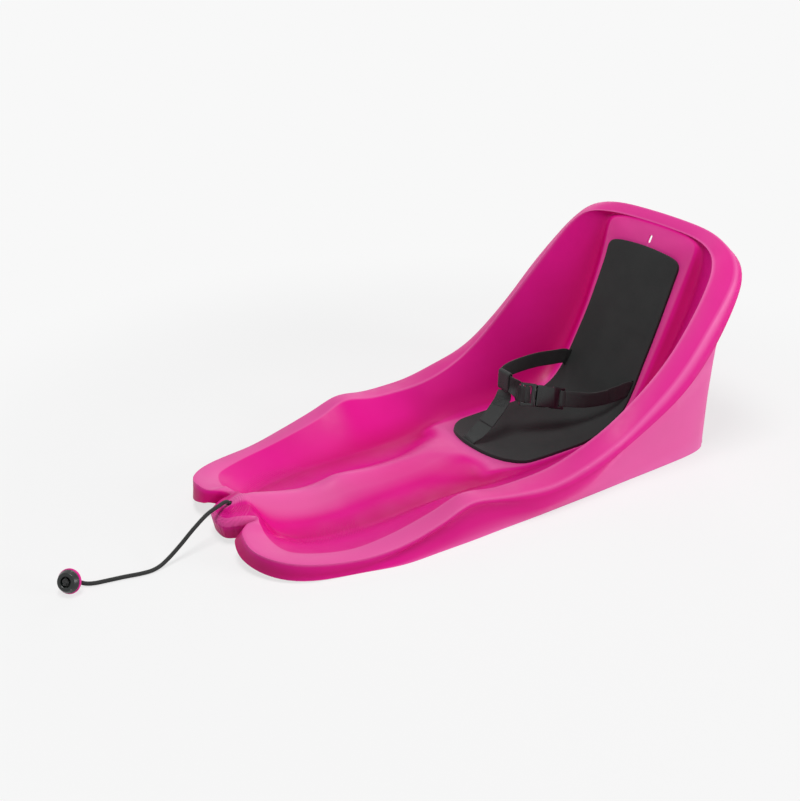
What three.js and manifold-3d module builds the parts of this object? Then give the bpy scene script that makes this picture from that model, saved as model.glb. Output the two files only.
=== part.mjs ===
// Baby pull sled: a moulded shell with two leg troughs, a seat with a high back and a hollow base,
// a seat pad, a lap belt with a side release buckle, a crotch strap, and a tow cord with a pull knob.
// Millimetres, +Z up, nose towards -Y, origin at the middle of the base.
import * as THREE from "three";
import { mergeVertices } from "three/addons/utils/BufferGeometryUtils.js";
import Module from "manifold-3d";

const wasm = await Module();
wasm.setup();

// Shell sizes
const half_width = 190;
const length = 788;
const height = 322;
const wall = 3;
const band_crown = 1.6;
const rear_lean = 8.2;
const rear_inset = 2.4;

// Holes in the shell
const rope_hole_diameter = 8;
const hang_slot_length = 13;
const hang_slot_width = 6;
const strap_slot_end_gap = 2;
const strap_slot_side_gap = 1.8;
const cut_overrun = 12;
const sliver = 0.02;
const weld_distance = 0.0001;

// Seat pad sizes
const pad_thickness = 5;
const pad_clearance = 0.6;

// Webbing sizes
const webbing_width = 25;
const webbing_thickness = 1.4;
const joint_gap = 0.3;
const anchor_diameter = 5;
const anchor_length = 38;
const loop_height = 31;
const loop_clear = 5.6;
const strap_slot_length = webbing_width + 2 * strap_slot_end_gap;
const strap_slot_width = webbing_thickness + 2 * strap_slot_side_gap;

// Buckle sizes, along the strap from the end of the tongue
const bar_side_gap = 1;
const tongue_rail = 4.5;
const tongue_thickness = 4;
const ladder_bar = 4;
const ladder_slot = 5.4;
const tongue_base = 7;
const tongue_corner = 2;
const guide_width = 5;
const guide_length = 24;
const arm_root_radius = 2;
const arm_side_gap = 3.5;
const arm_thickness = 3.6;
const arm_reach = 22.5;
const press_pad_proud = 0.7;
const housing_rail = 3.5;
const housing_thickness = 10;
const housing_wall = 2.5;
const housing_length = 47;
const mouth_gap = 1;
const socket_depth = 28;
const window_start = 16;
const window_length = 11;
const housing_waist = 1.6;
const rail_thickness = 7;
const slot_half = webbing_width / 2 + bar_side_gap;
const buckle_width = 2 * (slot_half + tongue_rail);
const housing_width = 2 * (slot_half + housing_rail);
const housing_inner_half = housing_width / 2 - housing_wall;
const arm_offset = housing_inner_half - arm_side_gap - arm_root_radius;
const arm_pad_spread = housing_inner_half + press_pad_proud - arm_offset;

// Tow cord and pull knob sizes
const cord_diameter = 5.4;
const cord_clearance = 0.5;
const knot_diameter = 15;
const knob_diameter = 29;
const knob_cap_height = 8;
const knob_back_height = 5;
const knob_back_rim = 1.4;
const knob_recess_diameter = 13;
const knob_recess_depth = 4;
const knob_rounding = 3;
const knob_knot_diameter = 9;

// Shell rails. Each row is a station from the nose (0) round the notch, the foot lobe and the side
// to the middle of the top (22), then shares of half_width, length and height.
const spine_shares = [
  [0, 0, 0.022, 0.133], [1, 0, 0.029, 0.143], [2, 0, 0.037, 0.155], [3, 0, 0.051, 0.164],
  [4, 0, 0.065, 0.159], [5, 0, 0.077, 0.154], [6, 0, 0.09, 0.145], [7, 0, 0.11, 0.131],
  [8, 0, 0.135, 0.114], [9, 0, 0.178, 0.095], [9.5, 0, 0.204, 0.094], [10, 0, 0.234, 0.106],
  [10.5, 0, 0.266, 0.096], [11, 0, 0.306, 0.087], [12, 0, 0.371, 0.083], [13, 0, 0.44, 0.074],
  [13.5, 0, 0.48, 0.069], [14, 0, 0.511, 0.066], [14.25, 0, 0.528, 0.05], [14.6, 0, 0.557, 0.03],
  [15, 0, 0.608, 0.016], [16, 0, 0.711, 0.013], [16.5, 0, 0.777, 0.025], [17, 0, 0.831, 0.092],
  [17.5, 0, 0.866, 0.224], [18, 0, 0.896, 0.381], [18.5, 0, 0.919, 0.534], [19, 0, 0.941, 0.697],
  [20, 0, 0.959, 0.833], [21, 0, 0.97, 0.903], [22, 0, 0.973, 0.921],
];
const floor_shares = [
  [0, 0, 0.014, 0.13], [1, 0.045, 0.02, 0.137], [2, 0.07, 0.034, 0.146], [3, 0.105, 0.055, 0.151],
  [4, 0.17, 0.072, 0.08], [5, 0.21, 0.088, 0.038], [6, 0.23, 0.105, 0.027], [7, 0.25, 0.123, 0.024],
  [8, 0.275, 0.149, 0.021], [9, 0.29, 0.183, 0.021], [10, 0.3, 0.234, 0.024], [11, 0.26, 0.304, 0.024],
  [12, 0.23, 0.367, 0.024], [13, 0.24, 0.44, 0.024], [13.5, 0.31, 0.482, 0.027], [14, 0.385, 0.518, 0.03],
  [14.4, 0.42, 0.557, 0.024], [15, 0.45, 0.608, 0.015], [16, 0.455, 0.711, 0.015],
  [17, 0.445, 0.831, 0.092], [18, 0.435, 0.896, 0.381], [19, 0.448, 0.945, 0.709],
  [20, 0.475, 0.966, 0.903], [21, 0.3, 0.977, 0.939], [22, 0, 0.978, 0.945],
];
const foot_shares = [
  [0, 0, 0.011, 0.124], [1, 0.07, 0.017, 0.127], [2, 0.105, 0.033, 0.136], [3, 0.15, 0.059, 0.13],
  [4, 0.23, 0.075, 0.032], [5, 0.3, 0.09, 0.015], [6, 0.38, 0.11, 0.012], [7, 0.46, 0.136, 0.012],
  [8, 0.52, 0.16, 0.012], [9, 0.56, 0.193, 0.012], [10, 0.585, 0.241, 0.013], [11, 0.59, 0.307, 0.019],
  [12, 0.585, 0.371, 0.03], [13, 0.595, 0.431, 0.038], [14, 0.62, 0.516, 0.05], [15, 0.62, 0.602, 0.062],
  [16, 0.59, 0.711, 0.062], [17, 0.565, 0.829, 0.13], [18, 0.55, 0.908, 0.378], [19, 0.555, 0.958, 0.703],
  [20, 0.53, 0.975, 0.921], [21, 0.33, 0.979, 0.946], [22, 0, 0.98, 0.95],
];
const inner_rim_shares = [
  [0, 0, 0.006, 0.115], [1, 0.09, 0.01, 0.117], [2, 0.133, 0.03, 0.125], [3, 0.185, 0.06, 0.115],
  [4, 0.285, 0.053, 0.117], [5, 0.35, 0.053, 0.094], [6, 0.5, 0.057, 0.083], [7, 0.61, 0.071, 0.077],
  [8, 0.69, 0.105, 0.069], [9, 0.765, 0.157, 0.065], [10, 0.802, 0.227, 0.085], [11, 0.818, 0.304, 0.128],
  [12, 0.84, 0.369, 0.182], [13, 0.845, 0.431, 0.151], [14, 0.845, 0.518, 0.145],
  [15, 0.848, 0.608, 0.183], [16, 0.873, 0.699, 0.292], [17, 0.902, 0.795, 0.487],
  [18, 0.877, 0.867, 0.679], [19, 0.797, 0.929, 0.868], [20, 0.642, 0.954, 0.941],
  [21, 0.36, 0.977, 0.952], [22, 0, 0.981, 0.955],
];
const outer_rim_shares = [
  [0, 0, -0.001, 0.086], [1, 0.11, 0.004, 0.084], [2, 0.165, 0.027, 0.089], [3, 0.205, 0.053, 0.094],
  [4, 0.245, 0.036, 0.125], [5, 0.32, 0.017, 0.121], [6, 0.5, 0.011, 0.115], [7, 0.69, 0.041, 0.092],
  [8, 0.8, 0.087, 0.074], [9, 0.885, 0.158, 0.061], [10, 0.943, 0.229, 0.08], [11, 0.961, 0.301, 0.125],
  [12, 0.965, 0.369, 0.176], [13, 0.985, 0.431, 0.151], [14, 1.032, 0.518, 0.138],
  [15, 1.04, 0.608, 0.176], [16, 1.025, 0.702, 0.257], [17, 1.035, 0.805, 0.443], [18, 1.01, 0.883, 0.65],
  [19, 0.92, 0.963, 0.862], [20, 0.71, 0.983, 0.963], [21, 0.38, 0.996, 0.995], [22, 0, 0.999, 0.998],
];
const ground_shares = [
  [0, 0, 0.003, 0.027], [1, 0.1, 0.007, 0.027], [2, 0.155, 0.029, 0.028], [3, 0.2, 0.051, 0.03],
  [4, 0.245, 0.016, 0.08], [5, 0.315, 0.004, 0.068], [5.5, 0.4, 0.001, 0.052], [6, 0.51, 0.008, 0.035],
  [7, 0.7, 0.039, 0.015], [8, 0.815, 0.083, 0.006], [9, 0.895, 0.157, 0], [10, 0.975, 0.229, 0],
  [11, 0.99, 0.301, 0], [12, 1, 0.367, 0], [13, 1.002, 0.431, 0], [14, 1.01, 0.518, 0],
  [15, 1.01, 0.608, 0], [16, 1.005, 0.713, 0], [17, 1, 0.843, 0], [17.5, 0.993, 0.889, 0],
  [17.75, 0.98, 0.916, 0], [18, 0.95, 0.936, 0], [18.2, 0.9, 0.948, 0], [18.4, 0.9, 0.936, 0.614],
  [18.6, 0.905, 0.945, 0.685], [19, 0.885, 0.971, 0.797], [20, 0.69, 0.993, 0.895],
  [21, 0.375, 1.001, 0.924], [22, 0, 1.002, 0.927],
];
// From this station on the rim has a rolled lip with a tuck below it
const lip_start = 8;
const lip_shares = [
  [8, 0.81, 0.086, 0.047], [9, 0.892, 0.158, 0.041], [10, 0.95, 0.229, 0.065], [11, 0.968, 0.301, 0.109],
  [12, 0.973, 0.369, 0.159], [13, 0.993, 0.431, 0.13], [14, 1.045, 0.518, 0.106], [15, 1.05, 0.61, 0.13],
  [16, 1.04, 0.711, 0.221], [17, 1.055, 0.824, 0.396], [18, 1.03, 0.904, 0.602], [19, 0.935, 0.978, 0.83],
  [20, 0.725, 0.998, 0.93], [21, 0.39, 1.005, 0.96], [22, 0, 1.006, 0.963],
];
const tuck_shares = [
  [8, 0.812, 0.085, 0.027], [9, 0.893, 0.157, 0.024], [10, 0.935, 0.229, 0.049], [11, 0.948, 0.301, 0.092],
  [12, 0.953, 0.369, 0.139], [13, 0.98, 0.431, 0.109], [14, 1.04, 0.518, 0.047], [15, 1.035, 0.607, 0.059],
  [16, 1.005, 0.713, 0.213], [17, 0.995, 0.831, 0.375], [18, 0.965, 0.912, 0.546],
  [19, 0.885, 0.971, 0.797], [20, 0.69, 0.993, 0.895], [21, 0.375, 1.001, 0.924], [22, 0, 1.002, 0.927],
];

// Shares of the wall below the rim where the lip and the tuck lie before the lip starts
const plain_lip_share = 1 / 3;
const plain_tuck_share = 2 / 3;

// Sharpness of the ridge between the troughs at each station: 1 is a plain bell, more is flatter on top
const ridge_shares = [[0, 1], [12, 1], [13, 1.3], [13.5, 3], [14, 6], [14.5, 2], [15, 1], [22, 1]];

// Steps of the skin between two stations, and across each of its zones
const station_steps = [2, 3, 3, 3, 3, 3, 3, 2, 3, 4, 4, 4, 3, 4, 4, 4, 5, 4, 5, 3, 3, 2];
const ridge_steps = 6;
const trough_steps = 2;
const side_steps = 4;
const band_steps = 3;

// A smooth curve through the rows of a table: the values at any station between them, without overshoot
function along(rows, t) {
  const last = rows.length - 1;
  let i = 0;
  while (i < last - 1 && t > rows[i + 1][0]) i += 1;
  const a = rows[i];
  const b = rows[i + 1];
  const before = rows[Math.max(i - 1, 0)];
  const after = rows[Math.min(i + 2, last)];
  const span = b[0] - a[0];
  const s = Math.min(Math.max((t - a[0]) / span, 0), 1);
  const rise = (p, q, k) => (q[k] - p[k]) / (q[0] - p[0]);
  const slope = (p, q, r, k) => {
    if (p === q) return rise(q, r, k);
    if (q === r) return rise(p, q, k);
    const left = rise(p, q, k);
    const right = rise(q, r, k);
    if (left * right <= 0) return 0;
    const mean = (left * (r[0] - q[0]) + right * (q[0] - p[0])) / (r[0] - p[0]);
    const limit = 3 * Math.min(Math.abs(left), Math.abs(right));
    return Math.sign(mean) * Math.min(Math.abs(mean), limit);
  };
  return a.slice(1).map((value, n) => {
    const k = n + 1;
    const m0 = slope(before, a, b, k) * span;
    const m1 = slope(a, b, after, k) * span;
    const s2 = s * s;
    const s3 = s2 * s;
    const low = (2 * s3 - 3 * s2 + 1) * value + (s3 - 2 * s2 + s) * m0;
    return low + (3 * s2 - 2 * s3) * b[k] + (s3 - s2) * m1;
  });
}

// A point of the sled from its shares of the half width, the length and the height
function at_shares([x, y, z]) {
  return new THREE.Vector3(x * half_width, y * length, z * height);
}

function rail_point(shares, t) {
  return at_shares(along(shares, t));
}

function mix(a, b, share) {
  return a.clone().lerp(b, share);
}

function flip(v) {
  return new THREE.Vector3(-v.x, v.y, v.z);
}

// Steps, in stations and in shares across, over which directions are measured
const tangent_share = 0.05;
const frame_share = 0.1;

// Outer skin of the shell at one station, from the spine over the rim down to the ground line
function skin_section(t) {
  const spine = rail_point(spine_shares, t);
  const floor = rail_point(floor_shares, t);
  const foot = rail_point(foot_shares, t);
  const inner = rail_point(inner_rim_shares, t);
  const outer = rail_point(outer_rim_shares, t);
  const ground = rail_point(ground_shares, t);
  const rolled = THREE.MathUtils.smoothstep(t, lip_start, lip_start + 1);
  const lip = mix(mix(outer, ground, plain_lip_share), rail_point(lip_shares, t), rolled);
  const tuck = mix(mix(outer, ground, plain_tuck_share), rail_point(tuck_shares, t), rolled);
  const [sharpness] = along(ridge_shares, t);
  const ahead = rail_point(spine_shares, t + tangent_share);
  const tangent = ahead.sub(rail_point(spine_shares, t - tangent_share));
  const up = new THREE.Vector3(0, -tangent.z, tangent.y).normalize();
  const points = [];
  const rise = spine.clone().sub(floor).dot(up);
  for (let i = 0; i < ridge_steps; i += 1) {
    const share = i / ridge_steps;
    const bell = (1 + Math.cos(Math.PI * share ** sharpness)) / 2;
    points.push(mix(spine, floor, share).addScaledVector(up, rise * (bell - 1 + share)));
  }
  for (let i = 0; i < trough_steps; i += 1) points.push(mix(floor, foot, i / trough_steps));
  for (let i = 0; i < side_steps; i += 1) points.push(mix(foot, inner, i / side_steps));
  const across = outer.clone().sub(inner).normalize();
  const crown = up.clone().addScaledVector(across, -up.dot(across)).normalize();
  for (let i = 0; i < band_steps; i += 1) {
    const share = i / band_steps;
    points.push(mix(inner, outer, share).addScaledVector(crown, band_crown * Math.sin(Math.PI * share)));
  }
  points.push(outer, lip, tuck, mix(tuck, ground, 0.5), ground);
  return points;
}

const stations = [0];
station_steps.forEach((steps, i) => {
  for (let k = 1; k <= steps; k += 1) stations.push(i + k / steps);
});
const skin = stations.map((t) => skin_section(t));

// Row numbers of the rails in the skin
const row = { spine: 0, floor: ridge_steps, foot: ridge_steps + trough_steps };
row.inner = row.foot + side_steps;
row.outer = row.inner + band_steps;
row.lip = row.outer + 1;
row.tuck = row.outer + 2;
row.panel = row.outer + 3;
row.ground = row.outer + 4;

// Rows of the outer skin that the lining repeats, one wall further in
const lining_rows = [0, 2, 3, 4, row.floor, row.foot, row.foot + 2, row.inner, row.inner + 2, row.outer,
  row.tuck, row.panel, row.ground];

// Unit normals of a grid whose first row and end columns lie in the mirror plane x = 0
function grid_normals(grid) {
  const last = grid.length - 1;
  const rows = grid[0].length;
  return grid.map((column, i) => column.map((point, j) => {
    const next = i < last ? grid[i + 1][j] : flip(grid[last - 1][j]);
    const prev = i > 0 ? grid[i - 1][j] : flip(grid[1][j]);
    const outward = j < rows - 1 ? column[j + 1] : point;
    const inward = j > 0 ? column[j - 1] : flip(column[1]);
    const normal = outward.clone().sub(inward).cross(next.clone().sub(prev)).normalize();
    if (i === 0 || i === last || j === 0) normal.setX(0).normalize();
    return normal;
  }));
}

const skin_normals = grid_normals(skin);

function lined(depth) {
  return skin.map((column, i) => lining_rows.map((j) => {
    const inset = column[j].clone().addScaledVector(skin_normals[i][j], -depth);
    if (j === row.ground) {
      const level = skin_normals[i][j].clone().setZ(0).normalize();
      inset.copy(column[j]).addScaledVector(level, -depth);
    }
    inset.z = Math.max(inset.z, 0);
    return inset;
  }));
}

// Meshes from loose corners, and solids for cutting and joining
function geometry_from(corners) {
  const merged = mergeVertices(new THREE.BufferGeometry().setFromPoints(corners), weld_distance);
  const kept = [];
  for (let i = 0; i < merged.index.count; i += 3) {
    const [a, b, c] = [0, 1, 2].map((k) => merged.index.getX(i + k));
    if (a !== b && b !== c && c !== a) kept.push(a, b, c);
  }
  merged.setIndex(kept);
  return merged;
}

function solid(geometry) {
  const bare = geometry.clone();
  bare.deleteAttribute("normal");
  bare.deleteAttribute("uv");
  const merged = mergeVertices(bare, weld_distance);
  return new wasm.Manifold(new wasm.Mesh({
    numProp: 3,
    vertProperties: new Float32Array(merged.getAttribute("position").array),
    triVerts: new Uint32Array(merged.index.array),
  }));
}

function geometry_of(body) {
  const mesh = body.simplify(sliver).getMesh();
  const geometry = new THREE.BufferGeometry();
  geometry.setAttribute("position", new THREE.BufferAttribute(new Float32Array(mesh.vertProperties), 3));
  geometry.setIndex(new THREE.BufferAttribute(new Uint32Array(mesh.triVerts), 1));
  return geometry;
}

// Four corners of a face as two triangles
function quad(corners, a, b, c, d) {
  corners.push(a, b, c, a, c, d);
}

function mirrored_quad(corners, a, b, c, d) {
  quad(corners, a, b, c, d);
  quad(corners, flip(d), flip(c), flip(b), flip(a));
}

function moulded_skin() {
  const lining = lined(wall);
  const corners = [];
  const end = lining_rows.length - 1;
  for (let i = 0; i < skin.length - 1; i += 1) {
    const here = skin[i];
    const next = skin[i + 1];
    const inside = lining[i];
    const inside_next = lining[i + 1];
    for (let j = 0; j < row.ground; j += 1) {
      mirrored_quad(corners, here[j], here[j + 1], next[j + 1], next[j]);
    }
    for (let j = 0; j < end; j += 1) {
      mirrored_quad(corners, inside_next[j], inside_next[j + 1], inside[j + 1], inside[j]);
    }
    mirrored_quad(corners, here[row.ground], inside[end], inside_next[end], next[row.ground]);
  }
  return solid(geometry_from(corners));
}

// The seat surface at a station, across from the spine (0) to the edge of the floor (1 or -1)
function seat_point(t, share) {
  const next = stations.findIndex((value) => value > t);
  const last = next > 0 ? next : stations.length - 1;
  const part = (t - stations[last - 1]) / (stations[last] - stations[last - 1]);
  const place = Math.min(Math.abs(share), 1) * ridge_steps;
  const j = Math.min(Math.floor(place), ridge_steps - 1);
  const across = (column) => mix(column[j], column[j + 1], place - j);
  const point = mix(across(skin[last - 1]), across(skin[last]), part);
  return share < 0 ? flip(point) : point;
}

function seat_frame(t, share) {
  const ahead = seat_point(t + frame_share, share);
  const beside = seat_point(t, share + frame_share);
  const forward = ahead.sub(seat_point(t - frame_share, share)).normalize();
  const sideways = beside.sub(seat_point(t, share - frame_share)).normalize();
  const normal = sideways.clone().cross(forward).normalize();
  return { point: seat_point(t, share), forward, sideways, normal };
}

// A frame with its long side, short side and depth along three directions
function frame_matrix(origin, x_axis, z_axis) {
  const z = z_axis.clone().normalize();
  const x = x_axis.clone().addScaledVector(z, -x_axis.dot(z)).normalize();
  const y = z.clone().cross(x);
  return new THREE.Matrix4().makeBasis(x, y, z).setPosition(origin);
}

// A flat outline with round ends
function stadium(long_side, short_side) {
  const shape = new THREE.Shape();
  const radius = short_side / 2;
  const reach = long_side / 2 - radius;
  shape.absarc(reach, 0, radius, -Math.PI / 2, Math.PI / 2, false);
  shape.absarc(-reach, 0, radius, Math.PI / 2, 3 * Math.PI / 2, false);
  shape.closePath();
  return shape;
}

// A flat outline with rounded corners, between two places along and half a width each way
function rounded_outline(shape, start, end, half, corner) {
  const quarter = Math.PI / 2;
  shape.absarc(end - corner, -half + corner, corner, -quarter, 0, false);
  shape.absarc(end - corner, half - corner, corner, 0, quarter, false);
  shape.absarc(start + corner, half - corner, corner, quarter, 2 * quarter, false);
  shape.absarc(start + corner, -half + corner, corner, 2 * quarter, 3 * quarter, false);
  shape.closePath();
  return shape;
}

function extruded(shape, depth, segments) {
  const options = { depth, bevelEnabled: false, curveSegments: segments };
  const geometry = new THREE.ExtrudeGeometry(shape, options);
  return geometry.translate(0, 0, -depth / 2);
}

function slot_cutter(long_side, short_side, frame) {
  return solid(extruded(stadium(long_side, short_side), 2 * cut_overrun, 4).applyMatrix4(frame));
}

// Places of the holes, each a station and a share across the seat surface
const rope_hole_shares = [1.1, 0];
const hang_slot_shares = [20.6, 0];
const crotch_slot_shares = [14.24, 0];
const belt_slot_shares = { left: [17.47, -0.87], right: [17.47, 0.87] };
const rope_hole = seat_frame(...rope_hole_shares);
const hang_slot = seat_frame(...hang_slot_shares);
const crotch_slot = seat_frame(...crotch_slot_shares);
const belt_slots = {
  left: seat_frame(...belt_slot_shares.left),
  right: seat_frame(...belt_slot_shares.right),
};

function slot_frame(slot, long_axis) {
  return frame_matrix(slot.point, long_axis, slot.normal);
}

function strap_slot_cutters() {
  const frames = [
    slot_frame(crotch_slot, crotch_slot.sideways),
    slot_frame(belt_slots.left, belt_slots.left.forward),
    slot_frame(belt_slots.right, belt_slots.right.forward),
  ];
  return frames.map((frame) => slot_cutter(strap_slot_length, strap_slot_width, frame));
}

// The rear wall leans forward and closes the base up to the back of the backrest
const rear_wall_shares = [[0.91, 0], [0.91, 0.6], [0.76, 0.74], [-0.76, 0.74], [-0.91, 0.6], [-0.91, 0]];
const rear_foot_share = 0.951;

function rear_wall() {
  const outline = rear_wall_shares.map(([x, z]) => new THREE.Vector2(x * half_width, z * height));
  const plate = new THREE.ExtrudeGeometry(new THREE.Shape(outline), { depth: wall, bevelEnabled: false });
  plate.rotateX(Math.PI / 2);
  const lean = Math.tan(THREE.MathUtils.degToRad(rear_lean));
  plate.applyMatrix4(new THREE.Matrix4().set(1, 0, 0, 0, 0, 1, -lean, 0, 0, 0, 1, 0, 0, 0, 0, 1));
  plate.translate(0, rear_foot_share * length - rear_inset, 0);
  return solid(plate).subtract(seat_side_space());
}

// The space in front of the middle of the backrest's wall
const seat_space_start = 16;

function seat_side_space() {
  const first = stations.indexOf(seat_space_start);
  const rows = lining_rows.filter((j) => j <= row.outer).length;
  const middle = lined(wall / 2).slice(first).map((column) => column.slice(0, rows));
  const reach = new THREE.Vector3(0, -half_width, half_width / 4);
  const moved = middle.map((column) => column.map((point) => point.clone().add(reach)));
  const corners = [];
  for (let i = 0; i < middle.length - 1; i += 1) {
    for (let j = 0; j < rows - 1; j += 1) {
      mirrored_quad(corners, moved[i][j], moved[i][j + 1], moved[i + 1][j + 1], moved[i + 1][j]);
      mirrored_quad(corners, middle[i + 1][j], middle[i + 1][j + 1], middle[i][j + 1], middle[i][j]);
    }
    const edge = rows - 1;
    mirrored_quad(corners, moved[i][edge], middle[i][edge], middle[i + 1][edge], moved[i + 1][edge]);
  }
  for (let j = 0; j < rows - 1; j += 1) {
    mirrored_quad(corners, moved[0][j], middle[0][j], middle[0][j + 1], moved[0][j + 1]);
  }
  return solid(geometry_from(corners));
}

function sled_shell() {
  let body = moulded_skin().add(rear_wall());
  const cutters = strap_slot_cutters();
  const round = slot_frame(rope_hole, rope_hole.sideways);
  const upright = slot_frame(hang_slot, hang_slot.forward);
  cutters.push(slot_cutter(rope_hole_diameter, rope_hole_diameter, round));
  cutters.push(slot_cutter(hang_slot_length, hang_slot_width, upright));
  cutters.forEach((cutter) => {
    body = body.subtract(cutter);
  });
  return geometry_of(body);
}

// Seat pad: its front edge is an arc round the crest of the seat, its top ends below the hang slot
const pad_width_shares = [
  [14, 0.93], [15, 0.96], [16, 0.97], [17, 0.95], [17.5, 0.93], [19, 0.86], [20, 0.79],
];
const pad_front_shares = { station: 14.13, sweep: 0.8, power: 2.4 };
const pad_top_shares = { station: 19.88, sweep: 0.25, power: 7, sag: 0.33, sag_power: 1.2 };
const pad_edge_share = 0.55;
const pad_columns = 10;
const pad_row_shares = [0, 0.006, 0.02, 0.045, 0.08, 0.125, 0.2, 0.3, 0.39, 0.43, 0.47, 0.51, 0.55, 0.58,
  0.61, 0.64, 0.68, 0.73, 0.79, 0.86, 0.93, 0.985, 1];

function pad_station(across, along_share) {
  const swept = ({ sweep, power }) => sweep * (1 - Math.sqrt(1 - Math.abs(across) ** power));
  const front = pad_front_shares.station + swept(pad_front_shares);
  const sag = pad_top_shares.sag * Math.abs(across) ** pad_top_shares.sag_power;
  const back = pad_top_shares.station - sag - swept(pad_top_shares);
  return front + (back - front) * along_share;
}

function seat_pad() {
  const grid = [];
  for (let i = 0; i <= pad_columns; i += 1) {
    const across = Math.sin(Math.PI * (i / pad_columns - 0.5));
    const edge_column = i === 0 || i === pad_columns;
    grid.push(pad_row_shares.map((share) => {
      const t = pad_station(across, share);
      const [width] = along(pad_width_shares, t);
      const { point, normal } = seat_frame(t, across * width);
      const edge = edge_column || share === 0 || share === 1;
      const rise = pad_clearance + pad_thickness * (edge ? pad_edge_share : 1);
      const under = point.clone().addScaledVector(normal, pad_clearance);
      return { under, top: point.addScaledVector(normal, rise) };
    }));
  }
  const corners = [];
  const rows = pad_row_shares.length - 1;
  const side = (a, b) => quad(corners, a.top, a.under, b.under, b.top);
  for (let i = 0; i < pad_columns; i += 1) {
    for (let j = 0; j < rows; j += 1) {
      const [a, b, c, d] = [grid[i][j], grid[i + 1][j], grid[i + 1][j + 1], grid[i][j + 1]];
      quad(corners, a.top, b.top, c.top, d.top);
      quad(corners, d.under, c.under, b.under, a.under);
    }
    side(grid[i][0], grid[i + 1][0]);
    side(grid[i + 1][rows], grid[i][rows]);
  }
  for (let j = 0; j < rows; j += 1) {
    side(grid[0][j + 1], grid[0][j]);
    side(grid[pad_columns][j], grid[pad_columns][j + 1]);
  }
  let body = solid(geometry_from(corners));
  strap_slot_cutters().forEach((cutter) => {
    body = body.subtract(cutter);
  });
  return geometry_of(body);
}

// Webbing: a flat strip along a route, each row a point and the direction of the strip's width
const webbing_steps = 3;

function webbing(route) {
  const curve = new THREE.CatmullRomCurve3(route.map(({ point }) => point), false, "centripetal");
  const count = (route.length - 1) * webbing_steps;
  const sections = [];
  for (let k = 0; k <= count; k += 1) {
    const share = k / count;
    const place = share * (route.length - 1);
    const i = Math.min(Math.floor(place), route.length - 2);
    const point = curve.getPoint(share);
    const tangent = curve.getTangent(share);
    const width = mix(route[i].width, route[i + 1].width, place - i);
    width.addScaledVector(tangent, -width.dot(tangent)).setLength(webbing_width / 2);
    const thick = width.clone().cross(tangent).setLength(webbing_thickness / 2);
    sections.push([[1, 1], [-1, 1], [-1, -1], [1, -1]].map(([w, h]) => (
      point.clone().addScaledVector(width, w).addScaledVector(thick, h))));
  }
  const corners = [];
  for (let k = 0; k < count; k += 1) {
    for (let n = 0; n < 4; n += 1) {
      const m = (n + 1) % 4;
      quad(corners, sections[k][m], sections[k][n], sections[k + 1][n], sections[k + 1][m]);
    }
  }
  const [a, b, c, d] = sections[0];
  const [e, f, g, h] = sections[count];
  quad(corners, a, b, c, d);
  quad(corners, h, g, f, e);
  return solid(geometry_from(corners));
}

// A sewn sleeve of webbing round a bar: clear opening along the frame's x and y, width along its z
function webbing_sleeve(clear_long, clear_short, frame) {
  const shape = stadium(clear_long + 2 * webbing_thickness, clear_short + 2 * webbing_thickness);
  shape.holes.push(stadium(clear_long, clear_short));
  return solid(extruded(shape, webbing_width, 6).applyMatrix4(frame));
}

// Anchors: a round bar in a sewn sleeve behind each slot
const sleeve_clear = anchor_diameter + 2 * joint_gap;
const anchor_depth = wall + joint_gap + sleeve_clear / 2 + webbing_thickness;

function anchor_centre(slot) {
  return slot.point.clone().addScaledVector(slot.normal, -anchor_depth);
}

function anchor_sleeve(slot, width_axis) {
  const frame = frame_matrix(anchor_centre(slot), slot.normal, width_axis);
  return webbing_sleeve(sleeve_clear, sleeve_clear, frame);
}

function anchor_bar(slot, width_axis) {
  const bar = new THREE.CylinderGeometry(anchor_diameter / 2, anchor_diameter / 2, anchor_length, 12);
  bar.rotateX(Math.PI / 2);
  return bar.applyMatrix4(frame_matrix(anchor_centre(slot), slot.normal, width_axis));
}

// The first rows of a strap: from its sleeve out through the slot, square to the surface
function leaving_slot(slot, width_axis) {
  const sleeve_edge = wall + joint_gap + webbing_thickness / 2;
  return [-sleeve_edge, 0, wall + pad_thickness].map((rise) => (
    { point: slot.point.clone().addScaledVector(slot.normal, rise), width: width_axis.clone() }));
}

// Buckle frame: x along the strap from the free end of the tongue, z out of its face
const tongue_end_shares = [0.02, 0.648, 0.245];
const housing_end_shares = [0.17, 0.74, 0.19];
const buckle_face_shares = [0.854, -0.258, 0.441];
const tongue_end = at_shares(tongue_end_shares);
const buckle_axis = at_shares(housing_end_shares).sub(tongue_end).normalize();
const buckle_face = new THREE.Vector3(...buckle_face_shares);
buckle_face.addScaledVector(buckle_axis, -buckle_face.dot(buckle_axis)).normalize();
const buckle_frame = frame_matrix(tongue_end, buckle_axis, buckle_face);
const buckle_across = buckle_face.clone().cross(buckle_axis);

const middle_bar = ladder_bar + ladder_slot;
const base_start = middle_bar + ladder_bar + ladder_slot;
const tongue_length = base_start + tongue_base;
const housing_start = tongue_length + mouth_gap;
const housing_end = housing_start + housing_length;
const end_bar_middle = housing_end - ladder_bar / 2;
const bar_clear_short = tongue_thickness + 2 * joint_gap;
const bar_clear_long = ladder_bar + bar_clear_short;
const bar_sleeve_reach = bar_clear_long / 2 + webbing_thickness;

function on_buckle(x, y, z) {
  return new THREE.Vector3(x, y, z).applyMatrix4(buckle_frame);
}

// A box between two corners, as a cutter
function block(low, high) {
  const size = [0, 1, 2].map((k) => high[k] - low[k]);
  const middle = [0, 1, 2].map((k) => (high[k] + low[k]) / 2);
  return solid(new THREE.BoxGeometry(...size).translate(...middle));
}

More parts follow.
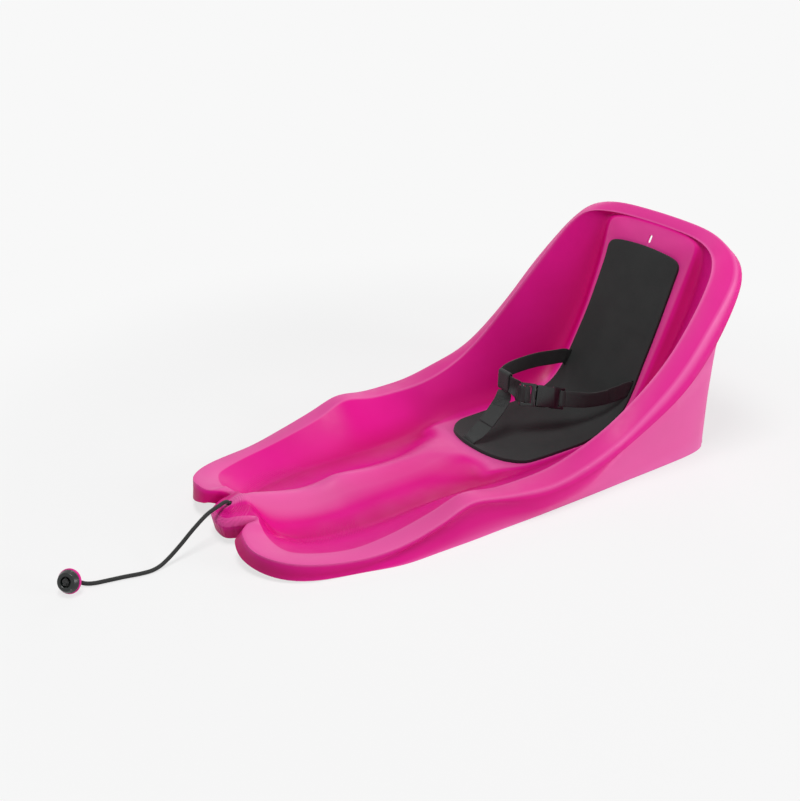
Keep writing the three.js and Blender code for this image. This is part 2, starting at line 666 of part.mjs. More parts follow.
// Tongue: a ladder frame for the webbing, and a guide that enters the housing
function buckle_tongue() {
  const frame = rounded_outline(new THREE.Shape(), 0, tongue_length, buckle_width / 2, tongue_corner);
  [ladder_bar, middle_bar + ladder_bar].forEach((start) => {
    const opening = new THREE.Path();
    frame.holes.push(rounded_outline(opening, start, start + ladder_slot, slot_half, tongue_corner / 2));
  });
  const guide_end = tongue_length + guide_length;
  const guide_start = base_start + tongue_corner;
  const guide = rounded_outline(new THREE.Shape(), guide_start, guide_end, guide_width / 2, tongue_corner);
  const body = solid(extruded(frame, tongue_thickness, 3)).add(solid(extruded(guide, tongue_thickness, 3)));
  return geometry_of(body).applyMatrix4(buckle_frame);
}

// Latch arm: a sprung arm with a press pad, turning at its root on the tongue; side is 1 or -1
const arm_root = tongue_length + joint_gap + arm_root_radius;
const arm_outline_shares = [[0.52, -0.05], [1, 0.47], [1.02, 0.8], [0.91, 1], [0.45, 0.62]];

function latch_arm(side) {
  const shape = new THREE.Shape();
  const quarter = Math.PI / 2;
  shape.absarc(arm_root, arm_offset, arm_root_radius, quarter, 3 * quarter, false);
  arm_outline_shares.forEach(([reach, spread]) => {
    shape.lineTo(arm_root + reach * arm_reach, arm_offset + spread * arm_pad_spread);
  });
  shape.closePath();
  const arm = extruded(shape, arm_thickness, 5);
  if (side < 0) arm.rotateX(Math.PI);
  return arm.applyMatrix4(buckle_frame);
}

// Housing: a socket with a window in each side for the press pads, and a bar for the webbing
function buckle_housing() {
  const half = housing_width / 2;
  const outline = rounded_outline(new THREE.Shape(), housing_start, housing_end, half, tongue_corner);
  const bevel = tongue_corner / 2;
  const core = new THREE.ExtrudeGeometry(outline, { depth: housing_thickness - 2 * bevel, curveSegments: 3,
    bevelThickness: bevel, bevelSize: bevel, bevelOffset: -bevel, bevelSegments: 1 });
  let body = solid(core.translate(0, 0, bevel - housing_thickness / 2));
  const inner = housing_inner_half;
  const hollow = housing_thickness / 2 - housing_wall / 2;
  const window_low = housing_start + window_start;
  const window_high = window_low + window_length;
  const window_middle = (window_low + window_high) / 2;
  const bar_low = housing_end - ladder_bar;
  const slot_low = bar_low - ladder_slot;
  const beyond = half + cut_overrun;
  const past_end = housing_end + cut_overrun;
  const cuts = [
    block([housing_start - cut_overrun, -inner, -hollow], [housing_start + socket_depth, inner, hollow]),
    block([window_low, -beyond, -hollow], [window_high, beyond, hollow]),
    block([slot_low, -slot_half, -beyond], [bar_low, slot_half, beyond]),
  ];
  [1, -1].forEach((side) => {
    const waist = new THREE.CylinderGeometry(half, half, 2 * beyond, 24).rotateX(Math.PI / 2);
    cuts.push(solid(waist.translate(window_middle, side * (2 * half - housing_waist), 0)));
    const [low, high] = side > 0 ? [rail_thickness / 2, beyond] : [-beyond, -rail_thickness / 2];
    const rail_start = housing_start + socket_depth + housing_wall;
    cuts.push(block([rail_start, -beyond, low], [past_end, beyond, high]));
    const [under, over] = side > 0 ? [tongue_thickness / 2, beyond] : [-beyond, -tongue_thickness / 2];
    cuts.push(block([slot_low, -slot_half, under], [past_end, slot_half, over]));
  });
  cuts.forEach((cut) => {
    body = body.subtract(cut);
  });
  return geometry_of(body).applyMatrix4(buckle_frame);
}

// Lap belt, left side: from its anchor round the front through the crotch loop to the ladder frame
const loop_shares = [-0.064, 0.625, 0.31];
const loop_middle = at_shares(loop_shares);
const loop_rise = new THREE.Vector3(0, 0, 1);
const left_belt_shares = [[-0.37, 0.845, 0.24], [-0.31, 0.8, 0.272], [-0.25, 0.747, 0.305],
  [-0.205, 0.697, 0.322], [-0.175, 0.655, 0.325], [-0.152, 0.634, 0.318]];
const loop_pass_shares = [-0.13, -0.05, 0.025];
const past_loop_shares = [0.043, 0.631, 0.294];

function belt_row(point, width) {
  return { point, width: width.clone() };
}

function lap_belt_left() {
  const slot = belt_slots.left;
  const route = leaving_slot(slot, slot.forward);
  left_belt_shares.forEach((place) => route.push(belt_row(at_shares(place), loop_rise)));
  loop_pass_shares.forEach((x) => {
    route.push(belt_row(loop_middle.clone().setX(x * half_width), loop_rise));
  });
  const over_bar = tongue_thickness / 2 + joint_gap + webbing_thickness;
  route.push(belt_row(at_shares(past_loop_shares), loop_rise));
  route.push(belt_row(on_buckle(-ladder_bar, 0, over_bar), buckle_across));
  route.push(belt_row(on_buckle(ladder_bar / 2, 0, over_bar), buckle_across));
  const bar_middle = middle_bar + ladder_bar / 2;
  const near_edge = bar_middle - bar_sleeve_reach + webbing_thickness;
  route.push(belt_row(on_buckle(near_edge, 0, tongue_thickness / 2), buckle_across));
  const strap = webbing(route).add(anchor_sleeve(slot, slot.forward));
  return geometry_of(strap.add(bar_sleeve(bar_middle)));
}

function bar_sleeve(place) {
  const frame = frame_matrix(on_buckle(place, 0, 0), buckle_axis, buckle_across);
  return webbing_sleeve(bar_clear_long, bar_clear_short, frame);
}

// Lap belt, right side: from the housing's end bar to its anchor
const right_belt_shares = [[0.25, 0.785, 0.178], [0.315, 0.818, 0.19], [0.358, 0.836, 0.21]];

function lap_belt_right() {
  const slot = belt_slots.right;
  const far_edge = end_bar_middle + bar_sleeve_reach - webbing_thickness / 2;
  const route = [belt_row(on_buckle(far_edge, 0, 0), buckle_across)];
  right_belt_shares.forEach((place) => route.push(belt_row(at_shares(place), loop_rise)));
  route.push(...leaving_slot(slot, slot.forward).reverse());
  const strap = webbing(route).add(anchor_sleeve(slot, slot.forward));
  return geometry_of(strap.add(bar_sleeve(end_bar_middle)));
}

// Crotch strap: from its anchor up to a sewn loop round the lap belt
const crotch_shares = [
  [-0.003, 0.547, 0.09], [-0.012, 0.572, 0.125], [-0.027, 0.598, 0.175], [-0.042, 0.617, 0.22],
];

function crotch_strap() {
  const across = new THREE.Vector3(1, 0, 0);
  const route = leaving_slot(crotch_slot, across);
  crotch_shares.forEach((place) => route.push(belt_row(at_shares(place), across)));
  const loop_foot = loop_height / 2 + webbing_thickness / 2;
  route.push(belt_row(loop_middle.clone().addScaledVector(loop_rise, -loop_foot), across));
  const loop = webbing_sleeve(loop_height, loop_clear, frame_matrix(loop_middle, loop_rise, across));
  return geometry_of(webbing(route).add(anchor_sleeve(crotch_slot, across)).add(loop));
}

// Pull knob: a black cap with a recess and a pink back, both bored for the cord
const knob_place = new THREE.Vector3(10.7, -195.5, 16.2);
const knob_axis_shares = [0.62, -0.62, 0.48];
const knob_axis = new THREE.Vector3(...knob_axis_shares).normalize();
const knob_bore = cord_diameter / 2 + cord_clearance;

function turned(profile) {
  const points = [...profile, profile[0]].map(([r, z]) => new THREE.Vector2(r, z));
  const body = new THREE.LatheGeometry(points, 28).rotateX(Math.PI / 2);
  return body.applyMatrix4(frame_matrix(knob_place, new THREE.Vector3(0, 0, 1), knob_axis));
}

function pull_knob_cap() {
  const rim = knob_diameter / 2;
  const dish = knob_recess_diameter / 2;
  const low = joint_gap / 2;
  const step = knob_rounding / 3;
  return turned([[knob_bore, low], [rim, low], [rim, low + step], [rim - step, low + knob_rounding],
    [rim - knob_rounding, knob_cap_height - step], [dish + step, knob_cap_height],
    [dish, knob_cap_height - step], [dish - step, knob_cap_height - knob_recess_depth],
    [knob_bore, knob_cap_height - knob_recess_depth]]);
}

function pull_knob_back() {
  const rim = knob_diameter / 2 + knob_back_rim;
  const low = -joint_gap / 2 - knob_back_height;
  const step = knob_rounding / 3;
  return turned([[knob_bore, low], [rim - knob_rounding, low], [rim - step, low + step],
    [rim, low + knob_rounding], [rim - step / 2, -joint_gap / 2], [knob_bore, -joint_gap / 2]]);
}

// Knots: one under the nose, one in the recess of the knob
const knot_squash = 0.62;

function knot(centre, axis, diameter) {
  const ball = new THREE.SphereGeometry(diameter / 2, 16, 10).rotateX(Math.PI / 2).scale(1, 1, knot_squash);
  return ball.applyMatrix4(frame_matrix(centre, new THREE.Vector3(axis.z, axis.x, axis.y), axis));
}

function nose_knot() {
  const depth = wall + joint_gap + knot_squash * knot_diameter / 2;
  const centre = rope_hole.point.clone().addScaledVector(rope_hole.normal, -depth);
  return knot(centre, rope_hole.normal, knot_diameter);
}

function knob_knot() {
  const rise = knob_cap_height - knob_recess_depth + joint_gap + knot_squash * knob_knot_diameter / 2;
  return knot(knob_place.clone().addScaledVector(knob_axis, rise), knob_axis, knob_knot_diameter);
}

// Tow cord: out of the nose, down to the ground and along it to the knob
const cord_points = [
  [0.4, 20.4, 50.2], [1.6, 15.4, 51.4], [3.2, 9.2, 50.4], [7.4, -9.6, 46.6], [12.6, -32.2, 34.8],
  [17.8, -54.7, 19.9], [22.4, -74.5, 8.6], [25, -86.6, 3.9], [26.7, -98, 2.8], [25.6, -110, 2.8],
  [20.4, -131.5, 2.8], [16.2, -152, 2.8], [13.2, -166, 2.9], [9.4, -175.4, 3.6], [5.4, -182.4, 6.2],
];
const cord_sides = 8;
const cord_steps = 44;

function tow_cord() {
  const from_hole = (rise) => rope_hole.point.clone().addScaledVector(rope_hole.normal, rise);
  const from_knob = (rise) => knob_place.clone().addScaledVector(knob_axis, rise);
  const points = [from_hole(-wall), from_hole(0)];
  cord_points.forEach((place) => points.push(new THREE.Vector3(...place)));
  const knob_bottom = -knob_back_height - cord_diameter;
  points.push(from_knob(knob_bottom), from_knob(0), from_knob(knob_cap_height - knob_recess_depth));
  const path = new THREE.CatmullRomCurve3(points, false, "centripetal");
  const section = new THREE.Shape();
  section.absarc(0, 0, cord_diameter / 2, 0, 2 * Math.PI, false);
  return new THREE.ExtrudeGeometry(section, {
    extrudePath: path, steps: cord_steps, curveSegments: cord_sides / 2, bevelEnabled: false });
}

// Materials
const pink = new THREE.MeshStandardMaterial({ color: 0xde3092, roughness: 0.45, metalness: 0 });
const foam = new THREE.MeshStandardMaterial({ color: 0x2f3031, roughness: 0.85, metalness: 0 });
const strap = new THREE.MeshStandardMaterial({ color: 0x232425, roughness: 0.8, metalness: 0 });
const acetal = new THREE.MeshStandardMaterial({ color: 0x1b1c1d, roughness: 0.4, metalness: 0 });
const braid = new THREE.MeshStandardMaterial({ color: 0x1d1e1f, roughness: 0.85, metalness: 0 });

// Assembly
const sled = new THREE.Group();
const fixed = new THREE.Group();
const tow = new THREE.Group();
sled.add(fixed, tow);

function add(group, name, geometry, material) {
  const mesh = new THREE.Mesh(geometry, material);
  mesh.name = name;
  group.add(mesh);
}

const across = new THREE.Vector3(1, 0, 0);
add(fixed, "sled_shell", sled_shell(), pink);
add(fixed, "seat_pad", seat_pad(), foam);
add(fixed, "lap_belt_left", lap_belt_left(), strap);
add(fixed, "lap_belt_right", lap_belt_right(), strap);
add(fixed, "crotch_strap", crotch_strap(), strap);
add(fixed, "belt_anchor_left", anchor_bar(belt_slots.left, belt_slots.left.forward), acetal);
add(fixed, "belt_anchor_right", anchor_bar(belt_slots.right, belt_slots.right.forward), acetal);
add(fixed, "crotch_anchor", anchor_bar(crotch_slot, across), acetal);
add(fixed, "buckle_tongue", buckle_tongue(), acetal);
add(fixed, "latch_arm_upper", latch_arm(1), acetal);
add(fixed, "latch_arm_lower", latch_arm(-1), acetal);
add(fixed, "buckle_housing", buckle_housing(), acetal);
add(tow, "nose_knot", nose_knot(), braid);
add(tow, "tow_cord", tow_cord(), braid);
add(tow, "pull_knob_cap", pull_knob_cap(), acetal);
add(tow, "pull_knob_back", pull_knob_back(), pink);
add(tow, "knob_knot", knob_knot(), braid);

// The origin is the middle of the base of what is not on the cord
const own = new THREE.Box3().setFromObject(fixed);
sled.position.y = -(own.min.y + own.max.y) / 2;

export default sled;
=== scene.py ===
"""Baby pull sled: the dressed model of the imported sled, its stage, its lights and its camera."""

import logging
import math
from contextlib import contextmanager
from dataclasses import dataclass, field
from enum import Enum
from typing import Iterator, Sequence

import bpy
import numpy as np
from mathutils import Matrix, Vector


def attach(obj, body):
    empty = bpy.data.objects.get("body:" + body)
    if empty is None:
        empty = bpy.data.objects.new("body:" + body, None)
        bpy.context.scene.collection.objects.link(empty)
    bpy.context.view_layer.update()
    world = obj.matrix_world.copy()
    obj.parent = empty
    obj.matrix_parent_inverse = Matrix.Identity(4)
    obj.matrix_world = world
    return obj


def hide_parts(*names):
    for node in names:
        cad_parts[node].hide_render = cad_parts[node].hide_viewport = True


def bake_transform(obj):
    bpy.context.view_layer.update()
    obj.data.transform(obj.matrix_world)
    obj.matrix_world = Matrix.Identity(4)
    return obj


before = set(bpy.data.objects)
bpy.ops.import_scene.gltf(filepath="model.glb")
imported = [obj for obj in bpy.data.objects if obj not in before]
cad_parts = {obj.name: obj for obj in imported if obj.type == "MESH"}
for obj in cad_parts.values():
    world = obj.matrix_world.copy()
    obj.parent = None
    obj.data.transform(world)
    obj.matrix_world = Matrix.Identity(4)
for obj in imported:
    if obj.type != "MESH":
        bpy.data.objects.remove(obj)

log = logging.getLogger("sled")

Row = tuple[float, ...]
Pair = tuple[float, float]
Place = tuple[float, float, float]
Piece = bpy.types.Object
Socket = bpy.types.NodeSocket
Material = bpy.types.Material
Route = Sequence[tuple[Vector, Vector]]
UP = Vector((0.0, 0.0, 1.0))
RIGHT = Vector((1.0, 0.0, 0.0))
TINY = 1e-6
SEAM = 2e-5
PATCHES_FROM = (0.3, 0.7)


def held(value: float) -> float:
    """A value held between 0 and 1."""
    return min(max(value, 0.0), 1.0)


def heading(points: Sequence[Vector], k: int, closed: bool = False) -> Vector:
    """The way a line runs at one of its points."""
    last = len(points) - 1
    if closed:
        return points[(k + 1) % last] - points[(k - 1) % last]
    return points[min(k + 1, last)] - points[max(k - 1, 0)]


# Working with objects


def pick_none() -> None:
    """Leave edit mode and deselect everything."""
    if bpy.context.object is not None and bpy.context.object.mode != "OBJECT":
        bpy.ops.object.mode_set(mode="OBJECT")
    bpy.ops.object.select_all(action="DESELECT")


def pick(obj: Piece) -> None:
    """Select one object and make it the active one."""
    pick_none()
    obj.select_set(True)
    bpy.context.view_layer.objects.active = obj


def finish_with(obj: Piece, kind: str, **settings: object) -> None:
    """Add a modifier of a kind, with settings by name, and apply it."""
    modifier = obj.modifiers.new(kind.title(), kind)
    for name, value in settings.items():
        setattr(modifier, name, value)
    pick(obj)
    bpy.ops.object.modifier_apply(modifier=modifier.name)


def round_edges(obj: Piece, width: float, segments: int = 2, degrees: float = 30.0) -> None:
    """Round the edges that are sharper than the angle."""
    finish_with(obj, "BEVEL", width=width, segments=segments, limit_method="ANGLE",
                angle_limit=math.radians(degrees))


def write_values(obj: Piece, name: str, domain: str, values: Sequence[float]) -> None:
    """Write one value for each point or edge of a mesh."""
    obj.data.attributes.new(name, "FLOAT", domain).data.foreach_set("value", values)


def place_by(obj: Piece, matrix: Matrix) -> None:
    """Turn and move a piece made round the origin, and keep its object at the origin."""
    obj.data.transform(matrix)
    obj.data.update()


def smooth(obj: Piece, degrees: float = 35.0) -> None:
    """Shade a piece smooth, with edges sharper than the angle kept."""
    pick(obj)
    bpy.ops.object.shade_smooth_by_angle(angle=math.radians(degrees))


@contextmanager
def editing(obj: Piece) -> Iterator[None]:
    """Edit mode with the whole of a mesh selected."""
    pick(obj)
    bpy.ops.object.mode_set(mode="EDIT")
    bpy.ops.mesh.select_all(action="SELECT")
    yield
    bpy.ops.object.mode_set(mode="OBJECT")


def weld(obj: Piece, distance: float = TINY, outward: bool = True) -> None:
    """Merge doubled points and turn the faces outward."""
    with editing(obj):
        bpy.ops.mesh.remove_doubles(threshold=distance)
        if outward:
            bpy.ops.mesh.normals_make_consistent(inside=False)


def close_ends(obj: Piece) -> None:
    """Fill the open ends of a tube."""
    with editing(obj):
        bpy.ops.mesh.fill_holes(sides=0)
        bpy.ops.mesh.normals_make_consistent(inside=False)


def cylinder(radius: float, depth: float, sides: int) -> Piece:
    """A closed cylinder round the origin, with its axis along z."""
    pick_none()
    bpy.ops.mesh.primitive_cylinder_add(vertices=sides, radius=radius, depth=depth)
    return bpy.context.object


def join(name: str, parts: Sequence[Piece]) -> Piece:
    """Join several meshes into the first one and name it."""
    pick_none()
    for part in parts:
        part.select_set(True)
    bpy.context.view_layer.objects.active = parts[0]
    if len(parts) > 1:
        bpy.ops.object.join()
    parts[0].name = name
    parts[0].data.name = name
    return parts[0]


def shaped_grid(name: str, places: np.ndarray, uv: np.ndarray | None = None) -> Piece:
    """Shape a grid primitive to given places.

    Args:
        name: The piece's name.
        places: Points as [i, j, 3]. Faces point along d/di x d/dj.
        uv: Texture places as [i, j, 2], in metres, or None for the grid's own.

    Returns:
        The shaped mesh object, at the origin.
    """
    n, m = places.shape[:2]
    pick_none()
    bpy.ops.mesh.primitive_grid_add(x_subdivisions=n - 1, y_subdivisions=m - 1, size=1, calc_uvs=True)
    obj = bpy.context.object
    obj.name = obj.data.name = name
    obj.data.vertices.foreach_set("co", places.transpose(1, 0, 2).reshape(-1).astype(np.float32))
    if uv is not None:
        flat = uv.transpose(1, 0, 2).reshape(-1, 2)
        corner = np.zeros(len(obj.data.loops), np.int32)
        obj.data.loops.foreach_get("vertex_index", corner)
        obj.data.uv_layers[0].data.foreach_set("uv", flat[corner].reshape(-1).astype(np.float32))
    obj.data.update()
    return obj


def swept(name: str, points: Sequence[Vector], ribs: Sequence[Sequence[tuple[Vector, float]]]) -> Piece:
    """A sheet along a line, with its texture in metres.

    Args:
        name: Its name.
        points: The line.
        ribs: At each point, the offsets across the sheet and their texture places.

    Returns:
        The sheet.
    """
    places = np.zeros((len(ribs[0]), len(points), 3))
    uv = np.zeros((len(ribs[0]), len(points), 2))
    gone = 0.0
    for k, (point, rib) in enumerate(zip(points, ribs)):
        gone += (point - points[max(k - 1, 0)]).length
        for i, (offset, u) in enumerate(rib):
            places[i, k] = point + offset
            uv[i, k] = (u, gone)
    return shaped_grid(name, places, uv)


def cut_with(obj: Piece, cutters: Sequence[Piece]) -> None:
    """Cut holes into a piece with closed cutters, which are removed."""
    tool = join("cutter", cutters)
    finish_with(obj, "BOOLEAN", operation="DIFFERENCE", solver="EXACT", object=tool)
    bpy.data.objects.remove(tool)


def cover(obj: Piece, material: Material) -> None:
    """Give a whole mesh one material."""
    obj.data.materials.clear()
    obj.data.materials.append(material)


def dressed(obj: Piece, material: Material | None, body: str, node: str) -> Piece:
    """Give a piece its material (None: it has its own), attach it to its body and hide the imported node it
    stands for.
    """
    if material is not None:
        cover(obj, material)
    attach(obj, body)
    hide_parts(node)
    return obj


# Sizes shared by the pieces


@dataclass(frozen=True)
class Body:
    """Overall sizes of the shell, in metres."""

    half_width: float = 0.190
    length: float = 0.788
    height: float = 0.322
    wall: float = 0.003
    base_shift: float = 0.39597
    band_crown: float = 0.0016

    def at(self, shares: Sequence[float]) -> Vector:
        """The point at shares of the half width, the length and the height."""
        x, y, z = shares
        return Vector((x * self.half_width, y * self.length - self.base_shift, z * self.height))


BODY = Body()


@dataclass(frozen=True)
class Rail:
    """A line along the shell: stations with values between which it runs smoothly."""

    rows: tuple[Row, ...]

    def place(self, t: float) -> Vector:
        """The point at a station, where the values are shares of the shell's sizes."""
        return BODY.at(self.at(t))

    def at(self, t: float) -> np.ndarray:
        """The values at a station, without overshoot between the rows."""
        rows = self.rows
        last = len(rows) - 1
        i = 0
        while i < last - 1 and t > rows[i + 1][0]:
            i += 1
        a, b = rows[i], rows[i + 1]
        before, after = rows[max(i - 1, 0)], rows[min(i + 2, last)]
        span = b[0] - a[0]
        s = held((t - a[0]) / span)
        out = []
        for k in range(1, len(a)):
            m0 = self._slope(before, a, b, k) * span
            m1 = self._slope(a, b, after, k) * span
            s2, s3 = s * s, s * s * s
            out.append((2 * s3 - 3 * s2 + 1) * a[k] + (s3 - 2 * s2 + s) * m0
                       + (3 * s2 - 2 * s3) * b[k] + (s3 - s2) * m1)
        return np.array(out)

    @staticmethod
    def _slope(p: Row, q: Row, r: Row, k: int) -> float:
        """The slope of value k at row q, between its neighbours p and r."""
        def rise(a: Row, b: Row) -> float:
            return (b[k] - a[k]) / (b[0] - a[0])

        if p is q:
            return rise(q, r)
        if q is r:
            return rise(p, q)
        left, right = rise(p, q), rise(q, r)
        if left * right <= 0:
            return 0.0
        mean = (left * (r[0] - q[0]) + right * (q[0] - p[0])) / (r[0] - p[0])
        return math.copysign(min(abs(mean), 3 * min(abs(left), abs(right))), mean)


SPINE = Rail((
    (0, 0, 0.022, 0.133), (1, 0, 0.029, 0.143), (2, 0, 0.037, 0.155), (3, 0, 0.051, 0.164),
    (4, 0, 0.065, 0.159), (5, 0, 0.077, 0.154), (6, 0, 0.09, 0.145), (7, 0, 0.11, 0.131),
    (8, 0, 0.135, 0.114), (9, 0, 0.178, 0.095), (9.5, 0, 0.204, 0.097), (10, 0, 0.234, 0.115),
    (10.5, 0, 0.266, 0.107), (11, 0, 0.306, 0.091), (12, 0, 0.371, 0.085), (13, 0, 0.44, 0.088),
    (13.5, 0, 0.48, 0.079), (14, 0, 0.511, 0.066), (14.25, 0, 0.528, 0.05), (14.6, 0, 0.557, 0.03),
    (15, 0, 0.608, 0.016), (16, 0, 0.711, 0.013), (16.5, 0, 0.777, 0.025), (17, 0, 0.831, 0.092),
    (17.5, 0, 0.866, 0.224), (18, 0, 0.896, 0.381), (18.5, 0, 0.919, 0.534), (19, 0, 0.941, 0.697),
    (20, 0, 0.959, 0.833), (21, 0, 0.97, 0.903), (22, 0, 0.973, 0.921)))
FLOOR = Rail((
    (0, 0, 0.014, 0.13), (1, 0.045, 0.02, 0.137), (2, 0.07, 0.034, 0.146), (3, 0.105, 0.055, 0.151),
    (4, 0.19, 0.073, 0.078), (5, 0.27, 0.088, 0.034), (6, 0.33, 0.107, 0.018), (7, 0.37, 0.127, 0.0135),
    (8, 0.4, 0.153, 0.012), (9, 0.42, 0.186, 0.0115), (10, 0.435, 0.237, 0.0115), (11, 0.43, 0.304, 0.0115),
    (12, 0.42, 0.368, 0.012), (13, 0.42, 0.44, 0.013), (13.5, 0.405, 0.481, 0.019), (14, 0.395, 0.516, 0.05),
    (14.4, 0.43, 0.557, 0.03), (15, 0.45, 0.608, 0.015), (16, 0.455, 0.711, 0.015),
    (17, 0.445, 0.831, 0.092), (18, 0.435, 0.896, 0.381), (19, 0.448, 0.945, 0.709),
    (20, 0.475, 0.966, 0.903), (21, 0.3, 0.977, 0.939), (22, 0, 0.978, 0.945)))
FOOT = Rail((
    (0, 0, 0.011, 0.124), (1, 0.07, 0.017, 0.127), (2, 0.105, 0.033, 0.136), (3, 0.15, 0.059, 0.13),
    (4, 0.24, 0.075, 0.034), (5, 0.33, 0.092, 0.014), (6, 0.39, 0.112, 0.0115), (7, 0.435, 0.134, 0.011),
    (8, 0.465, 0.158, 0.011), (9, 0.48, 0.19, 0.011), (10, 0.49, 0.24, 0.011), (11, 0.48, 0.306, 0.0115),
    (12, 0.475, 0.37, 0.012), (13, 0.485, 0.441, 0.014), (14, 0.53, 0.517, 0.024), (15, 0.62, 0.602, 0.062),
    (16, 0.59, 0.711, 0.062), (17, 0.565, 0.829, 0.13), (18, 0.55, 0.908, 0.378), (19, 0.555, 0.958, 0.703),
    (20, 0.53, 0.975, 0.921), (21, 0.33, 0.979, 0.946), (22, 0, 0.98, 0.95)))
INNER_RIM = Rail((
    (0, 0, 0.006, 0.115), (1, 0.09, 0.01, 0.117), (2, 0.133, 0.03, 0.125), (3, 0.185, 0.06, 0.115),
    (4, 0.285, 0.053, 0.117), (5, 0.35, 0.053, 0.094), (6, 0.5, 0.057, 0.083), (7, 0.61, 0.071, 0.077),
    (8, 0.69, 0.105, 0.069), (9, 0.765, 0.157, 0.065), (10, 0.802, 0.227, 0.085), (11, 0.818, 0.304, 0.128),
    (12, 0.84, 0.369, 0.182), (13, 0.845, 0.431, 0.151), (14, 0.845, 0.518, 0.145),
    (15, 0.848, 0.608, 0.183), (16, 0.873, 0.699, 0.292), (17, 0.902, 0.795, 0.487),
    (18, 0.877, 0.867, 0.679), (19, 0.797, 0.929, 0.868), (20, 0.642, 0.954, 0.941),
    (21, 0.36, 0.977, 0.952), (22, 0, 0.981, 0.955)))
OUTER_RIM = Rail((
    (0, 0, -0.001, 0.086), (1, 0.11, 0.004, 0.084), (2, 0.165, 0.027, 0.089), (3, 0.205, 0.053, 0.094),
    (4, 0.245, 0.036, 0.125), (5, 0.32, 0.017, 0.121), (6, 0.5, 0.011, 0.115), (7, 0.69, 0.041, 0.092),
    (8, 0.8, 0.087, 0.074), (9, 0.885, 0.158, 0.061), (10, 0.943, 0.229, 0.08), (11, 0.961, 0.301, 0.125),
    (12, 0.965, 0.369, 0.176), (13, 0.985, 0.431, 0.151), (14, 1.032, 0.518, 0.138),
    (15, 1.04, 0.608, 0.176), (16, 1.025, 0.702, 0.257), (17, 1.035, 0.805, 0.443), (18, 1.01, 0.883, 0.65),
    (19, 0.92, 0.963, 0.862), (20, 0.71, 0.983, 0.963), (21, 0.38, 0.996, 0.995), (22, 0, 0.999, 0.998)))
GROUND = Rail((
    (0, 0, 0.003, 0.027), (1, 0.1, 0.007, 0.027), (2, 0.155, 0.029, 0.028), (3, 0.2, 0.051, 0.03),
    (4, 0.245, 0.016, 0.08), (5, 0.315, 0.004, 0.068), (5.5, 0.4, 0.001, 0.052), (6, 0.51, 0.008, 0.035),
    (7, 0.7, 0.039, 0.015), (8, 0.815, 0.083, 0.006), (9, 0.895, 0.157, 0), (10, 0.975, 0.229, 0),
    (11, 0.99, 0.301, 0), (12, 1, 0.367, 0), (13, 1.002, 0.431, 0), (14, 1.01, 0.518, 0),
    (15, 1.01, 0.608, 0), (16, 1.005, 0.713, 0), (17, 1, 0.843, 0), (17.5, 0.993, 0.889, 0),
    (17.75, 0.98, 0.916, 0), (18, 0.95, 0.936, 0), (18.2, 0.9, 0.948, 0), (18.4, 0.895, 0.92, 0.5),
    (18.6, 0.9, 0.935, 0.62), (19, 0.885, 0.971, 0.797), (20, 0.69, 0.993, 0.895),
    (21, 0.375, 1.001, 0.924), (22, 0, 1.002, 0.927)))
LIP = Rail((
    (8, 0.81, 0.086, 0.047), (9, 0.892, 0.158, 0.041), (10, 0.95, 0.229, 0.065), (11, 0.968, 0.301, 0.109),
    (12, 0.973, 0.369, 0.159), (13, 0.993, 0.431, 0.13), (14, 1.045, 0.518, 0.106), (15, 1.05, 0.61, 0.13),
    (16, 1.04, 0.711, 0.214), (17, 1.057, 0.825, 0.383), (18, 1.034, 0.906, 0.588), (19, 0.935, 0.978, 0.83),
    (20, 0.725, 0.998, 0.93), (21, 0.39, 1.005, 0.96), (22, 0, 1.006, 0.963)))
TUCK = Rail((
    (8, 0.812, 0.085, 0.027), (9, 0.893, 0.157, 0.024), (10, 0.935, 0.229, 0.049), (11, 0.948, 0.301, 0.092),
    (12, 0.953, 0.369, 0.139), (13, 0.98, 0.431, 0.109), (14, 1.04, 0.518, 0.047), (15, 1.035, 0.607, 0.059),
    (16, 1.005, 0.713, 0.213), (17, 0.998, 0.831, 0.36), (18, 0.968, 0.912, 0.53),
    *GROUND.rows[-4:]))
RIDGE = Rail((
    (0, 1, 1), (4, 1, 1), (6, 1, 1.7), (8, 1, 2.8), (9, 1, 3.3), (12, 1, 3.3), (13, 1.5, 2.8), (13.5, 3, 2),
    (14, 6, 1), (14.5, 2, 1), (15, 1, 1), (22, 1, 1)))
# painted light on the plastic, from painted shade (-1) to painted sheen (1): crest, flank, floor, foot, wall,
# under the rim, rim, band, outer edge, lip, tuck, ground
PAINTED_SHADE_AND_SHEEN = Rail((
    (0, 0.9, 0.3, -0.2, -0.4, 0, 0, 0.6, 0.5, 0, -0.7, -0.9, -0.9),
    (5, 1, -0.1, -0.6, -0.35, 0.05, -0.1, 0.8, 0.8, 0.5, -0.7, -1, -1),
    (8, 1, -0.3, -0.65, -0.4, 0.05, -0.1, 0.8, 0.8, 0.7, -0.3, -0.6, 0),
    (12, 0.5, -0.3, -0.8, -0.7, 0, -0.1, 0.8, 0.6, 0.8, -0.4, -0.5, 0.6),
    (13.5, 0.5, -0.1, -0.9, -0.9, -0.1, -0.1, 0.8, 0.45, 0.8, -0.4, -0.2, 0.8),
    (14, 0.8, 0.9, 0.9, -0.7, -0.3, -0.1, 0.8, 0.4, 0.8, -0.4, 0.1, 0.9),
    (15, 0, 0, 0.5, -0.6, -0.35, -0.1, 0.8, 0.35, 0.8, -0.4, 0.5, 1),
    (17, 0, 0, 0.6, -1, -0.5, -0.1, 0.9, 0.3, 0.9, -0.4, 0.8, 1),
    (19, 0.2, 0.2, 0.6, -1, -0.3, 0, 0.9, 0.3, 0.9, -0.4, 0.5, 1),
    (20.5, 0.5, 0.5, 0.4, -0.2, -0.1, 0, 0.9, 0.4, 0.8, -0.3, 0.2, 0.9),
    (22, 0.5, 0.5, 0.4, 0, 0, 0, 0.9, 0.4, 0.8, -0.3, 0.2, 0.9)))


